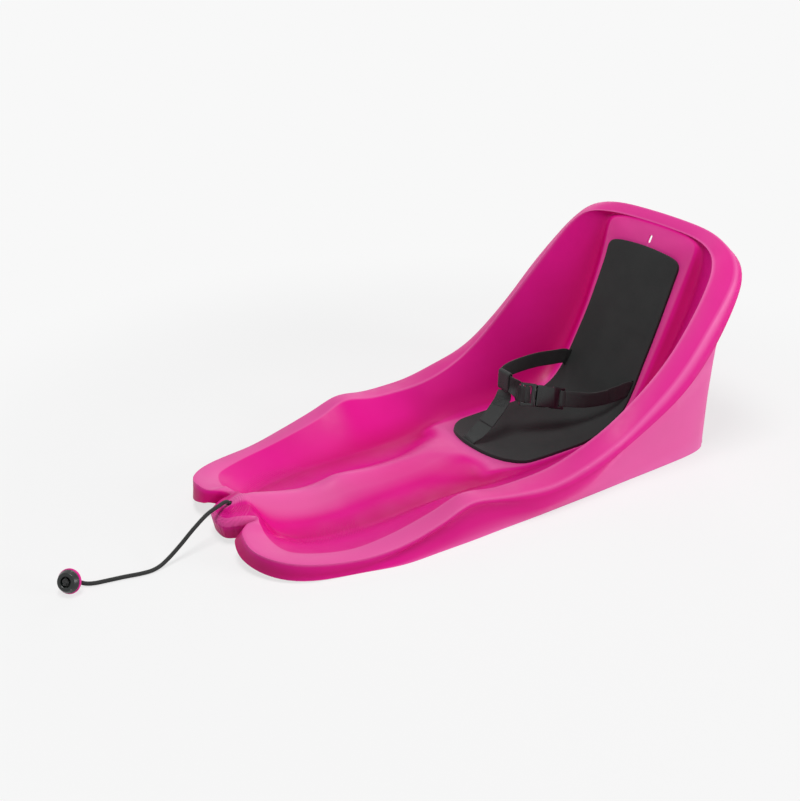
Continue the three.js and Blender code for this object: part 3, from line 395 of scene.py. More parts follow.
@dataclass(frozen=True)
class Spot:
    """A place on the seat's surface: forward is towards the top, normal is out of the surface."""

    point: Vector
    forward: Vector
    sideways: Vector
    normal: Vector

    def rise(self, height: float) -> Vector:
        """The point at a height over the surface."""
        return self.point + self.normal * height


def axes(origin: Vector, x_axis: Vector, z_axis: Vector) -> Matrix:
    """A frame whose x and z run as given, with z exact."""
    z = z_axis.normalized()
    x = (x_axis - z * x_axis.dot(z)).normalized()
    y = z.cross(x)
    matrix = Matrix((x, y, z)).transposed().to_4x4()
    matrix.translation = origin
    return matrix


@dataclass
class Skin:
    """The outer skin of the shell, from the spine over the rim down to the ground."""

    ridge_places: tuple[float, ...] = (0, 0.09, 0.18, 0.28, 0.4, 0.54, 0.7, 0.86)
    side_places: tuple[float, ...] = (0, 0.22, 0.45, 0.7, 0.88, 0.96)
    band_places: tuple[float, ...] = (0, 0.12, 0.5, 0.88)
    hem_points: int = 4
    lip_start: float = 8
    wall_rounding: float = 0.1
    rounding_from: Pair = (3, 5)
    rounding_to: Pair = (14, 12.5)
    tangent_step: float = 0.05
    spot_step: float = 0.1
    station_steps: tuple[int, ...] = (2, 3, 3, 3, 3, 3, 3, 2, 3, 4, 4, 4, 3, 4, 4, 4, 5, 4, 5, 3, 3, 2)

    def stations(self) -> list[float]:
        """The stations at which the cage has a row, from the nose to the top."""
        out = [0.0]
        for i, steps in enumerate(self.station_steps):
            out += [i + k / steps for k in range(1, steps + 1)]
        return out

    def lifted(self, t: float) -> Vector:
        """The direction square to the spine, in the middle plane."""
        ahead = SPINE.place(t + self.tangent_step) - SPINE.place(t - self.tangent_step)
        return Vector((0, -ahead.z, ahead.y)).normalized()

    def ridge_point(self, t: float, share: float) -> Vector:
        """A point between the spine (share 0) and the edge of the floor (share 1)."""
        spine, floor = SPINE.place(t), FLOOR.place(t)
        up = self.lifted(t)
        sharpness, power = RIDGE.at(t)
        bell = ((1 + math.cos(math.pi * share ** float(sharpness))) / 2) ** float(power)
        return spine.lerp(floor, share) + up * (spine - floor).dot(up) * (bell - 1 + share)

    def section(self, t: float) -> list[Vector]:
        """The points of the skin at one station."""
        floor, foot = FLOOR.place(t), FOOT.place(t)
        inner, outer = INNER_RIM.place(t), OUTER_RIM.place(t)
        ground = GROUND.place(t)
        s = held(t - self.lip_start)
        rolled = s * s * (3 - 2 * s)
        lip = outer.lerp(ground, 1 / 3).lerp(LIP.place(t), rolled)
        tuck = outer.lerp(ground, 2 / 3).lerp(TUCK.place(t), rolled)
        across = (outer - inner).normalized()
        up = self.lifted(t)
        crown = (up - across * up.dot(across)).normalized()
        points = [self.ridge_point(t, share) for share in self.ridge_places]
        points += [floor, floor.lerp(foot, 0.5)]
        bend = self.wall_rounding
        for start, end in (self.rounding_from, self.rounding_to):
            bend *= held((t - start) / (end - start))
        for share in self.side_places:
            point = foot.lerp(inner, share)
            points.append(Vector((point.x, point.y, foot.z + (inner.z - foot.z) * share ** (1 - bend))))
        points += [inner.lerp(outer, share) + crown * BODY.band_crown * math.sin(math.pi * share)
                   for share in self.band_places]
        points += [outer, lip, tuck, tuck.lerp(ground, 0.5), ground]
        return points

    def seat(self, t: float, share: float) -> Spot:
        """The spot of the seat at a station and a share across it, from -1 to 1."""
        def point(station: float, across: float) -> Vector:
            found = self.ridge_point(station, min(abs(across), 1.0))
            return Vector((math.copysign(found.x, across), found.y, found.z))

        step = self.spot_step
        forward = (point(t + step, share) - point(t - step, share)).normalized()
        sideways = (point(t, share + step) - point(t, share - step)).normalized()
        return Spot(point(t, share), forward, sideways, sideways.cross(forward).normalized())


SKIN = Skin()


@dataclass
class Slots:
    """The holes of the shell and of the pad, and their sizes in metres."""

    rope_hole: Spot = field(default_factory=lambda: SKIN.seat(1.1, 0))
    hang_slot: Spot = field(default_factory=lambda: SKIN.seat(20.6, 0))
    crotch: Spot = field(default_factory=lambda: SKIN.seat(14.24, 0))
    left: Spot = field(default_factory=lambda: SKIN.seat(17.47, -0.87))
    right: Spot = field(default_factory=lambda: SKIN.seat(17.47, 0.87))
    rope_diameter: float = 0.008
    hang_size: Pair = (0.013, 0.006)
    strap_size: Pair = (0.029, 0.005)
    depth: float = 0.024
    sides: int = 32

    def cutter(self, spot: Spot, long_axis: Vector, size: Pair) -> Piece:
        """A closed cutter with round ends, set square to the surface, with its long and short sides."""
        long_side, short_side = size
        obj = cylinder(short_side / 2, self.depth, self.sides)
        reach = (long_side - short_side) / 2
        for vertex in obj.data.vertices:
            if abs(vertex.co.x) > TINY:
                vertex.co.x += math.copysign(reach, vertex.co.x)
        place_by(obj, axes(spot.point, long_axis, spot.normal))
        return obj

    def strap_cutters(self) -> list[Piece]:
        """The cutters of the three strap slots."""
        return [self.cutter(self.crotch, self.crotch.sideways, self.strap_size),
                self.cutter(self.left, self.left.forward, self.strap_size),
                self.cutter(self.right, self.right.forward, self.strap_size)]

    def shell_cutters(self) -> list[Piece]:
        """The cutters of all the holes in the shell."""
        round_hole = (self.rope_diameter, self.rope_diameter)
        return [*self.strap_cutters(),
                self.cutter(self.rope_hole, self.rope_hole.sideways, round_hole),
                self.cutter(self.hang_slot, self.hang_slot.forward, self.hang_size)]


SLOTS = Slots()


# Finishes


def linear(hex_colour: str) -> tuple[float, float, float, float]:
    """An sRGB colour written as six hex digits, as the renderer's own values."""
    values = [int(hex_colour[i:i + 2], 16) / 255 for i in (0, 2, 4)]
    out = [v / 12.92 if v <= 0.04045 else ((v + 0.055) / 1.055) ** 2.4 for v in values]
    return (out[0], out[1], out[2], 1.0)


class Nodes:
    """A node tree under construction: adds nodes and joins them."""

    def __init__(self, owner: Material | bpy.types.World) -> None:
        """Start on the nodes of a new material or world."""
        owner.use_nodes = True
        self.tree = owner.node_tree

    def put(self, socket: Socket, value: object) -> None:
        """Give a socket a value, or join another socket to it."""
        if isinstance(value, Socket):
            self.tree.links.new(value, socket)
        else:
            socket.default_value = value

    def node(self, kind: str, inputs: dict[str | int, object], **settings: object) -> bpy.types.Node:
        """Add a node.

        Args:
            kind: Its type, without the ShaderNode prefix.
            inputs: Values or sockets by input name or number.
            settings: Properties of the node.

        Returns:
            The node.
        """
        made = self.tree.nodes.new("ShaderNode" + kind)
        for name, value in settings.items():
            setattr(made, name, value)
        for name, value in inputs.items():
            self.put(made.inputs[name], value)
        return made

    def maths(self, operation: str, a: object, b: object = 0.0, c: object = 0.0) -> Socket:
        """The result of one math step."""
        return self.node("Math", {0: a, 1: b, 2: c}, operation=operation).outputs[0]

    def times(self, *values: object) -> Socket:
        """The product of two or more values."""
        first, *others = values
        for value in others:
            first = self.maths("MULTIPLY", first, value)
        return first

    def seen(self) -> Socket:
        """1 for the camera's own rays and for what gloss or clear material shows, else 0."""
        path = self.node("LightPath", {}).outputs
        mirrored = self.maths("MAXIMUM", path["Is Glossy Ray"], path["Is Transmission Ray"])
        return self.maths("MAXIMUM", path["Is Camera Ray"], mirrored)

    def surface(self, output: str, share: object, a: Socket, b: Socket) -> None:
        """Join two shaders, mixed, to the tree's output."""
        mixed = self.node("MixShader", {0: share, 1: a, 2: b}).outputs[0]
        self.put(self.tree.nodes[output].inputs["Surface"], mixed)


class Bench(Nodes):
    """A material under construction."""

    def __init__(self, name: str) -> None:
        """Start a material with a plain shader."""
        self.material = bpy.data.materials.new(name)
        super().__init__(self.material)
        self.shader = self.tree.nodes["Principled BSDF"]
        self.places = self.tree.nodes.new("ShaderNodeTexCoord")

    def shade(self, **values: object) -> None:
        """Set the shader's sockets, with _ for spaces in their names."""
        for name, value in values.items():
            self.put(self.shader.inputs[name.replace("_", " ")], value)

    def noise(self, scale: float, detail: float = 2.0) -> Socket:
        """Noise over the object's own places, per metre."""
        inputs = {"Vector": self.places.outputs["Object"], "Scale": scale, "Detail": detail}
        return self.node("TexNoise", inputs).outputs["Fac"]

    def spread(self, value: object, low: float, high: float, to_low: float = 0.0,
               to_high: float = 1.0) -> Socket:
        """A value spread smoothly from one range to another."""
        return self.node("MapRange", {"Value": value, "From Min": low, "From Max": high,
                                      "To Min": to_low, "To Max": to_high},
                         interpolation_type="SMOOTHSTEP").outputs["Result"]

    def mottle(self, scale: float, detail: float, to_low: float = 0.0, to_high: float = 1.0) -> Socket:
        """Soft patches, spread from one value to another."""
        return self.spread(self.noise(scale, detail), *PATCHES_FROM, to_low, to_high)

    def blend(self, share: object, a: object, b: object) -> Socket:
        """Two colours mixed."""
        made = self.node("Mix", {0: share}, data_type="RGBA")
        self.put(made.inputs[6], a)
        self.put(made.inputs[7], b)
        return made.outputs[2]

    def bump(self, height: object, distance: float, strength: float = 1.0,
             normal: object = None) -> Socket:
        """Relief from a height, in metres, over another relief or the surface."""
        inputs: dict[str | int, object] = {"Height": height, "Distance": distance, "Strength": strength}
        if normal is not None:
            inputs["Normal"] = normal
        return self.node("Bump", inputs).outputs["Normal"]

    def axis(self, vector: object) -> tuple[Socket, ...]:
        """The three parts of a vector."""
        made = self.node("SeparateXYZ", {0: vector})
        return made.outputs[0], made.outputs[1], made.outputs[2]


@dataclass(frozen=True)
class MouldedPlastic:
    """Satin moulded plastic: soft change of tone, fine grain, paler edges that are partly wear and partly a
    painted highlight, and an optional painted sheen and painted shade by place.
    """

    name: str
    colour: str
    deep: str
    # edge: the paler colour of convex edges, partly wear and partly a painted highlight
    edge: str
    roughness: float
    gloss: float
    grain_per_metre: float = 1500.0
    grain_depth: float = 0.00003
    grain_strength: float = 0.5
    patches_per_metre: float = 7.0
    smears_per_metre: float = 45.0
    smears: Pair = (-0.04, 0.05)
    # Convex edges turn towards the edge colour: partly wear, partly a painted highlight.
    worn_and_highlit_from: Pair = (0.53, 0.62)
    wear_and_highlight: float = 0.6
    # Painted shade (deep colour) and painted sheen (pale colour) by place, read from a point attribute.
    painted_shade: str = ""
    painted_sheen: str = "f29ccf"
    painted_sheen_share: float = 0.32
    painted_shade_share: float = 0.75

    def build(self) -> Bench:
        """Make the material."""
        bench = Bench(self.name)
        patches = bench.mottle(self.patches_per_metre, detail=3.0)
        colour = bench.blend(patches, linear(self.colour), linear(self.deep))
        # Paler convex edges: partly wear, partly a painted highlight.
        convex = bench.node("NewGeometry", {}).outputs["Pointiness"]
        colour = bench.blend(bench.spread(convex, *self.worn_and_highlit_from, 0.0, self.wear_and_highlight), colour, linear(self.edge))
        # Painted sheen and painted shade, by the painted-light attribute of each point.
        if self.painted_shade:
            folds = bench.node("Attribute", {}, attribute_name="painted_light_tone").outputs["Fac"]
            for end, share, painted_tint in ((1.0, self.painted_sheen_share, self.painted_sheen), (-1.0, self.painted_shade_share, self.painted_shade)):
                colour = bench.blend(bench.spread(folds, 0.0, end, 0.0, share), colour, linear(painted_tint))
        rough = bench.mottle(self.smears_per_metre, 3.0, *(self.roughness + smear for smear in self.smears))
        grain = bench.bump(bench.noise(self.grain_per_metre), self.grain_depth, self.grain_strength)
        bench.shade(Base_Color=colour, Roughness=rough, Normal=grain, Specular_IOR_Level=self.gloss)
        return bench


@dataclass(frozen=True)
class NoseRelief:
    """Fine pleats round the rope hole, and treads on the floors of the leg troughs."""

    pleat_centre: Place = (0.0, -0.378, 0.040)
    pleat_pitch: float = 0.0029
    pleat_reach: Pair = (0.009, 0.040)
    pleat_depth: float = 0.0002
    pleat_fade: Pair = (0.006, 0.016)
    pleat_stretch: float = 0.35
    wobble: float = 0.004
    wobbles_per_metre: float = 60.0
    tread_pitch: float = 0.0042
    tread_depth: float = 0.0002
    tread_slant: float = 0.7
    tread_edge: Pair = (0.1, 0.7)
    tread_fade: float = 0.012
    tread_y: Pair = (-0.335, -0.215)
    tread_x: Pair = (0.058, 0.108)
    tread_z: Pair = (0.012, 0.010)

    @staticmethod
    def wave(bench: Bench, along: Socket, pitch: float) -> Socket:
        """A sine wave along a value, with a pitch in metres."""
        return bench.maths("SINE", bench.times(along, 2 * math.pi / pitch))

    def add_to(self, bench: Bench) -> None:
        """Put the relief over the grain of a finished material."""
        where = bench.places.outputs["Object"]
        offset = bench.node("VectorMath", {0: where, 1: self.pleat_centre}, operation="SUBTRACT").outputs[0]
        x, y, z = bench.axis(offset)
        flat = bench.node("CombineXYZ", {0: x, 1: y, 2: bench.times(z, self.pleat_stretch)}).outputs[0]
        far = bench.node("VectorMath", {0: flat}, operation="LENGTH").outputs["Value"]
        wavy = bench.maths("MULTIPLY_ADD", bench.noise(self.wobbles_per_metre), self.wobble, far)
        (near, end), (fade_in, fade_out) = self.pleat_reach, self.pleat_fade
        pleats = bench.times(self.wave(bench, wavy, self.pleat_pitch),
                             bench.spread(far, near, near + fade_in), bench.spread(far, end, end - fade_out))
        relief = bench.bump(pleats, self.pleat_depth, 1.0, bench.shader.inputs["Normal"].links[0].from_socket)
        px, py, pz = bench.axis(where)
        side = bench.maths("ABSOLUTE", px)
        slanted = bench.maths("MULTIPLY_ADD", side, self.tread_slant, py)
        bars = bench.spread(self.wave(bench, slanted, self.tread_pitch), *self.tread_edge)
        for value, (low, high) in ((py, self.tread_y), (side, self.tread_x)):
            bars = bench.times(bars, bench.spread(value, low, low + self.tread_fade),
                               bench.spread(value, high, high - self.tread_fade))
        bars = bench.times(bars, bench.spread(pz, *self.tread_z))
        bench.shade(Normal=bench.bump(bars, self.tread_depth, 1.0, relief))


@dataclass(frozen=True)
class FoamSkin:
    """Matt closed-cell foam with a faint mottle and fine pores."""

    name: str = "pad foam"
    colour: str = "262a29"
    deep: str = "1e2221"
    speck: str = "2b2e2d"
    roughness: float = 0.78
    specular: float = 0.3
    sheen: Pair = (0.08, 0.5)
    patches_per_metre: float = 18.0
    specks_per_metre: float = 1400.0
    speck_from: Pair = (0.35, 0.75)
    speckle: float = 0.5
    pores: tuple[float, float, float] = (1700.0, 0.00012, 0.6)
    dents: tuple[float, float, float] = (60.0, 0.0004, 0.35)

    def build(self) -> Bench:
        """Make the material."""
        bench = Bench(self.name)
        patches = bench.mottle(self.patches_per_metre, detail=4.0)
        colour = bench.blend(patches, linear(self.colour), linear(self.deep))
        specks = bench.spread(bench.noise(self.specks_per_metre), *self.speck_from, 0.0, self.speckle)
        colour = bench.blend(specks, colour, linear(self.speck))
        (fine, fine_depth, fine_share), (wide, wide_depth, wide_share) = self.pores, self.dents
        skin = bench.bump(bench.noise(fine, detail=3.0), fine_depth, fine_share)
        skin = bench.bump(bench.noise(wide), wide_depth, wide_share, skin)
        sheen, sheen_roughness = self.sheen
        bench.shade(Base_Color=colour, Roughness=self.roughness, Normal=skin,
                    Specular_IOR_Level=self.specular, Sheen_Weight=sheen, Sheen_Roughness=sheen_roughness)
        return bench


class Lay(Enum):
    """How the yarns of a textile lie."""

    FLAT_WEAVE = "flat weave"
    ROUND_BRAID = "round braid"


@dataclass(frozen=True)
class Yarn:
    """Woven or braided yarn on UV places in metres: u across, v along, with painted shade between the yarns.
    """

    name: str
    lay: Lay
    across: float
    along: float
    depth: float
    colour: str = "1a1f1e"
    # The deep colour is painted shade between the yarns.
    deep: str = "090d0c"
    roughness: float = 0.72
    sheen: Pair = (0.15, 0.45)
    bulge: Pair = (0.6, 0.5)
    fluff_per_metre: float = 300.0
    fluff_from: Pair = (0.2, 0.8)
    fluff: Pair = (0.6, 1.0)
    even_start: float = 1000.0

    @staticmethod
    def arch(bench: Bench, place: Socket) -> Socket:
        """Arches over whole steps of a value."""
        return bench.maths("ABSOLUTE", bench.maths("SINE", bench.times(place, math.pi)))

    def build(self) -> Bench:
        """Make the material."""
        bench = Bench(self.name)
        u, v, _ = bench.axis(bench.places.outputs["UV"])
        a = bench.maths("DIVIDE", u, self.across)
        b = bench.maths("DIVIDE", v, self.along)
        if self.lay is Lay.ROUND_BRAID:
            a, b = bench.maths("ADD", a, b), bench.maths("SUBTRACT", a, b)
        whole = bench.maths("FLOOR", bench.maths("ADD", a, self.even_start))
        shifted = bench.maths("MULTIPLY_ADD", bench.maths("MODULO", whole, 2.0), 0.5, b)
        height = bench.times(*(bench.maths("POWER", self.arch(bench, place), power)
                               for place, power in zip((a, shifted), self.bulge)))
        fluff = bench.spread(bench.noise(self.fluff_per_metre), *self.fluff_from, *self.fluff)
        # Deep between the yarns, where their arches run low: painted shade, varied at random by the fluff.
        weave_shade_and_fluff = bench.times(height, fluff)
        sheen, sheen_roughness = self.sheen
        bench.shade(Base_Color=bench.blend(weave_shade_and_fluff, linear(self.deep), linear(self.colour)),
                    Roughness=self.roughness, Normal=bench.bump(height, self.depth),
                    Sheen_Weight=sheen, Sheen_Roughness=sheen_roughness)
        return bench


@dataclass
class Finishes:
    """All the finishes of the sled."""

    shell: Material = field(init=False)
    knob: Material = field(init=False)
    foam: Material = field(init=False)
    webbing: Material = field(init=False)
    cord: Material = field(init=False)
    acetal: Material = field(init=False)
    thread: Material = field(init=False)

    def __post_init__(self) -> None:
        """Make each material once."""
        # bc005c is the painted shade of the shell's hollows and flanks; the fourth colour of each plastic is
        # its paler edge, partly wear and partly a painted highlight.
        bench = MouldedPlastic("pink plastic", "df108c", "d70a82", "ec62b4", roughness=0.4, gloss=0.15,
                               painted_shade="bc005c").build()
        NoseRelief().add_to(bench)
        self.shell = bench.material
        self.knob = MouldedPlastic("knob plastic", "e4149a", "da0c8a", "f068c0", roughness=0.36,
                                   gloss=0.4).build().material
        self.acetal = MouldedPlastic("black plastic", "121817", "0e1413", "646b69", roughness=0.3, gloss=0.5,
                                     grain_per_metre=1100.0, grain_depth=0.00002).build().material
        self.foam = FoamSkin().build().material
        # The yarns' deep colours are painted shade between the yarns.
        self.webbing = Yarn("webbing", Lay.FLAT_WEAVE, across=0.0016, along=0.0022,
                            depth=0.0002).build().material
        self.cord = Yarn("cord braid", Lay.ROUND_BRAID, across=0.0028, along=0.0034, depth=0.0004,
                         colour="101312", deep="040505").build().material
        self.thread = Yarn("thread", Lay.ROUND_BRAID, across=0.0003, along=0.0006, depth=0.0001,
                           colour="2e3332", deep="1b1f1e").build().material


# The shell and its pad


@dataclass
class Shell:
    """The moulded shell with its rear wall."""

    finishes: Finishes
    levels: int = 1
    mirror_merge: float = 1e-4
    rear_lean: float = 8.2
    rear_inset: float = 0.0024
    rear_foot_share: float = 0.951
    rear_shoulder: Pair = (0.91, 0.6)
    rear_top: Pair = (0.76, 0.74)
    inner_fold: float = 0.9
    outer_fold: float = 0.8
    lip_fold: float = 0.8
    tuck_fold: float = 1.0
    back_fold: float = 0.7
    back_start: float = 16.0
    # where the painted sheen and painted shade of the table fall across the ridge and up the side
    ridge_painted_light_at: tuple[float, ...] = (0, 0.3, 0.65, 1)
    side_painted_light_at: tuple[float, ...] = (0, 0.5, 0.95, 1)
    foot_station: float = 18.2
    meeting_gap: float = 0.0042
    meeting_stations: tuple[float, float, float] = (17.0, 19.0, 0.01)
    plate_edge: float = 0.0006
    plate_grid: tuple[int, int] = (24, 12)

    def skin_sheet(self) -> Piece:
        """The outer skin as one closed-up sheet, smooth and without thickness."""
        columns = [SKIN.section(t) for t in SKIN.stations()]
        places = np.array([[tuple(p) for p in column] for column in columns]).transpose(1, 0, 2)
        places[..., 2] = np.maximum(places[..., 2], 0)
        sheet = shaped_grid("sled_shell_body", places)
        self.crease(sheet, len(places))
        # paint the sheen and shade of the plastic into a point attribute
        self.painted_tint(sheet)
        finish_with(sheet, "MIRROR", use_axis=(True, False, False), merge_threshold=self.mirror_merge)
        weld(sheet, SEAM, outward=False)
        finish_with(sheet, "SUBSURF", levels=self.levels, render_levels=self.levels,
                    boundary_smooth="PRESERVE_CORNERS")
        return sheet

    def painted_tint(self, sheet: Piece) -> None:
        """Write the painted sheen (pale) and painted shade (deep) of the plastic at each point of the skin.
        """
        values: list[float] = []
        for t in SKIN.stations():
            crest, flank, floor, foot, wall, under, rim, band, outer, lip, tuck, ground = PAINTED_SHADE_AND_SHEEN.at(t)
            ridge = np.interp(SKIN.ridge_places, self.ridge_painted_light_at, (crest, crest, flank, floor))
            side = np.interp(SKIN.side_places, self.side_painted_light_at, (foot, wall, under, rim))
            values += [*ridge, floor, foot, *side, rim, band, band, band, outer, lip, tuck,
                       (tuck + ground) / 2, ground]
        write_values(sheet, "painted_light_tone", "POINT", values)

    def crease(self, sheet: Piece, rows: int) -> None:
        """Sharpen the folds of the rim and of the rolled lip, and the rear corner of the foot.

        Args:
            sheet: The skin as a grid.
            rows: The number of points of one station.
        """
        floor, outer = len(SKIN.ridge_places), rows - SKIN.hem_points - 1
        folds = {outer - len(SKIN.band_places): self.inner_fold, outer: self.outer_fold,
                 outer + 1: self.lip_fold, outer + 2: self.tuck_fold}
        stations = SKIN.stations()
        values = np.zeros(len(sheet.data.edges), np.float32)
        for edge in sheet.data.edges:
            a, b = sorted(edge.vertices)
            if b - a == rows:
                values[edge.index] = folds.get(a % rows, 0.0)
                if a % rows == floor and stations[a // rows] >= self.back_start:
                    values[edge.index] = self.back_fold
        write_values(sheet, "crease_edge", "EDGE", values)
        points = np.zeros(len(sheet.data.vertices), np.float32)
        corner = min(range(len(stations)), key=lambda i: abs(stations[i] - self.foot_station))
        points[corner * rows + rows - 1] = 1.0
        write_values(sheet, "crease_vert", "POINT", points)

    def build(self) -> Piece:
        """Make the shell."""
        body = self.skin_sheet()
        finish_with(body, "SOLIDIFY", thickness=BODY.wall, offset=-1, use_even_offset=False,
                    use_quality_normals=True)
        cut_with(body, SLOTS.shell_cutters())
        shell = join("shell_moulding", [body, self.wall_plate()])
        smooth(shell, degrees=50)
        return dressed(shell, self.finishes.shell, "sled", "sled_shell")

    def wall_plate(self) -> Piece:
        """The rear wall as a grid from the ground up to the back of the backrest."""
        columns, rows = self.plate_grid
        lean = math.tan(math.radians(self.rear_lean))
        foot = self.rear_foot_share * BODY.length - self.rear_inset - BODY.base_shift
        places = np.zeros((columns + 1, rows + 1, 3))
        for i in range(columns + 1):
            x = (1 - 2 * i / columns) * self.rear_shoulder[0] * BODY.half_width
            top = self.meeting_height(x, foot, lean)
            for j in range(rows + 1):
                z = top * j / rows
                places[i, j] = (x, foot - lean * z, z)
        plate = shaped_grid("rear_wall", places)
        finish_with(plate, "SOLIDIFY", thickness=BODY.wall, offset=-1)
        round_edges(plate, self.plate_edge)
        return plate

    def meeting_height(self, x: float, foot: float, lean: float) -> float:
        """The height at which the rear wall meets the back of the backrest.

        Args:
            x: How far from the middle.
            foot: Where the wall stands, along y.
            lean: How far the wall leans forward per metre of height.

        Returns:
            The height in metres, a little inside the backrest's wall.
        """
        (wide, low), (narrow, high) = self.rear_shoulder, self.rear_top
        slope = held((wide - abs(x) / BODY.half_width) / (wide - narrow))
        limit = (low + (high - low) * slope) * BODY.height
        t, end, step = self.meeting_stations
        while t < end:
            column = SKIN.section(t)[:-SKIN.hem_points]
            for a, b in zip(column, column[1:]):
                if a.x < b.x and a.x <= abs(x) <= b.x:
                    p = a.lerp(b, (abs(x) - a.x) / (b.x - a.x))
                    if foot - lean * p.z - p.y <= self.meeting_gap:
                        return min(p.z, limit)
            t += step
        return limit


@dataclass
class SeatPad:
    """The foam pad on the seat and the backrest."""

    finishes: Finishes
    thickness: float = 0.005
    clearance: float = 0.0006
    front_station: float = 14.13
    front_sweep: float = 0.8
    front_power: float = 3.0
    top_height: float = 0.2725
    top_sag: float = 0.0045
    corner_drop: float = 0.014
    corner_power: float = 9.0
    edge: float = 0.0016
    end_search: Pair = (19.0, 21.0)
    halvings: int = 24
    columns: int = 26
    rows: int = 72
    widths: Rail = Rail(((14, 0.93), (15, 0.96), (16, 0.97), (17, 0.95), (17.5, 0.93), (19, 0.87),
                         (20, 0.84)))

    def spot(self, across: float, t: float) -> Spot:
        """The spot of the seat at a share of the pad's width and a station."""
        return SKIN.seat(t, across * float(self.widths.at(t)[0]))

    @staticmethod
    def curve(across: float, power: float) -> float:
        """How far a curved end falls back at a share of the pad's width, from 0 to 1."""
        return 1 - math.sqrt(max(1 - abs(across) ** power, 0))

    def ends(self, across: float) -> Pair:
        """The stations at which the pad starts and ends, at a share of its width."""
        start = self.front_station + self.front_sweep * self.curve(across, self.front_power)
        height = (self.top_height - self.top_sag * across ** 2
                  - self.corner_drop * self.curve(across, self.corner_power))
        low, high = self.end_search
        for _ in range(self.halvings):
            middle = (low + high) / 2
            if self.spot(across, middle).point.z < height:
                low = middle
            else:
                high = middle
        return start, low

    def build(self) -> Piece:
        """Make the pad."""
        places = np.zeros((self.columns + 1, self.rows + 1, 3))
        middle = self.clearance + self.thickness / 2
        for i in range(self.columns + 1):
            across = math.sin(math.pi * (i / self.columns - 0.5))
            start, end = self.ends(across)
            for j in range(self.rows + 1):
                places[i, j] = self.spot(across, start + (end - start) * j / self.rows).rise(middle)
        pad = shaped_grid("seat_pad_foam", places)
        finish_with(pad, "SOLIDIFY", thickness=self.thickness, offset=0)
        round_edges(pad, self.edge, segments=3, degrees=50)
        cut_with(pad, SLOTS.strap_cutters())
        smooth(pad, degrees=50)
        dressed(pad, self.finishes.foam, "sled", "seat_pad")
        return pad


# Straps


@dataclass
class Webbing:
    """Flat webbing: strips along a route, sewn sleeves and second layers."""

    width: float = 0.025
    thickness: float = 0.0014
    gap: float = 0.0003
    edge: float = 0.0005
    across_steps: int = 6
    step_length: float = 0.0025
    fine_steps: int = 16
    turn_steps: int = 16
    lap_share: float = 0.98
    fewest_steps: int = 4

    def strip(self, name: str, route: Route, closed: bool = False) -> Piece:
        """A strip of webbing.

        Args:
            name: The strip's name.
            route: Points with the direction of the width at each.
            closed: Whether the strip is a ring.

        Returns:
            The strip as a mesh with its texture in metres.
        """
        points, widths = self.spaced(route, closed)
        shares = [i / self.across_steps - 0.5 for i in range(self.across_steps + 1)]
        obj = swept(name, points, [[(width * self.width * share, share * self.width) for share in shares]
                                   for width in widths])
        if closed:
            weld(obj, SEAM, outward=False)
        finish_with(obj, "SOLIDIFY", thickness=self.thickness, offset=0)
        round_edges(obj, self.edge, degrees=60)
        return obj

    def spaced(self, route: Route, closed: bool) -> tuple[list[Vector], list[Vector]]:
        """Points at even steps along a smooth line through a route, and the width's direction at each."""
        keys = [p for p, _ in route]
        before = keys[-2] if closed else keys[0] * 2 - keys[1]
        after = keys[1] if closed else keys[-1] * 2 - keys[-2]
        around = [before, *keys, after]
        marks = [i + k / self.fine_steps for i in range(len(keys) - 1) for k in range(self.fine_steps)]
        line = [centripetal(around[int(mark):int(mark) + 4], mark % 1) for mark in marks]
        fine = np.array([*line, keys[-1]])
        marks.append(len(keys) - 1.0)
        gone = np.concatenate(([0.0], np.cumsum(np.linalg.norm(np.diff(fine, axis=0), axis=1))))
        count = max(int(gone[-1] / self.step_length), self.fewest_steps)
        even = np.linspace(0.0, gone[-1], count + 1)
        points = [Vector(place) for place in zip(*(np.interp(even, gone, axis) for axis in fine.T))]
        places = np.interp(even, gone, marks)
        widths = []
        for k, place in enumerate(places):
            ahead = heading(points, k, closed).normalized()
            i = min(int(place), len(route) - 2)
            width = route[i][1].lerp(route[i + 1][1], place - i)
            widths.append((width - ahead * width.dot(ahead)).normalized())
        return points, widths

    def sleeve(self, name: str, clear: Pair, where: Matrix) -> Piece:
        """A sewn sleeve round a bar, its clear opening along the frame's x and y and its width along z."""
        long_side, short_side = clear
        radius = (short_side + self.thickness) / 2
        reach = max(long_side - short_side, 0.0) / 2
        width = (where.to_3x3() @ UP).normalized()
        angles = [math.pi * (k / self.turn_steps - 0.5) for k in range(self.turn_steps + 1)]
        ring = [Vector((reach + radius * math.cos(angle), radius * math.sin(angle), 0)) for angle in angles]
        ring += [Vector((-p.x, -p.y, 0)) for p in ring]
        ring.append(ring[0].copy())
        clean = [ring[0]]
        for p in ring[1:]:
            if (p - clean[-1]).length > TINY:
                clean.append(p)
        return self.strip(name, [(where @ p, width) for p in clean], closed=True)

    def doubled(self, name: str, route: Route, side: float) -> Piece:
        """A second layer sewn along a stretch of a strip, on its side 1 or -1."""
        points = [point for point, _ in route]
        lifted = []
        for k, (point, width) in enumerate(route):
            out = width.cross(heading(points, k)).normalized()
            lifted.append((point + out * side * (self.thickness * self.lap_share), width))
        return self.strip(name, lifted)


def centripetal(keys: Sequence[Vector], s: float) -> Vector:
    """A point of the centripetal Catmull-Rom line between the middle two of four points."""
    knots = [0.0]
    for p, q in zip(keys, keys[1:]):
        knots.append(knots[-1] + max((q - p).length, 1e-9) ** 0.5)
    t = knots[1] + (knots[2] - knots[1]) * s

    def mix(p: Vector, q: Vector, start: int, end: int) -> Vector:
        low, high = knots[start], knots[end]
        return p * ((high - t) / (high - low)) + q * ((t - low) / (high - low))

    first, middle, last = (mix(keys[i], keys[i + 1], i, i + 1) for i in range(3))
    return mix(mix(first, middle, 0, 2), mix(middle, last, 1, 3), 1, 2)


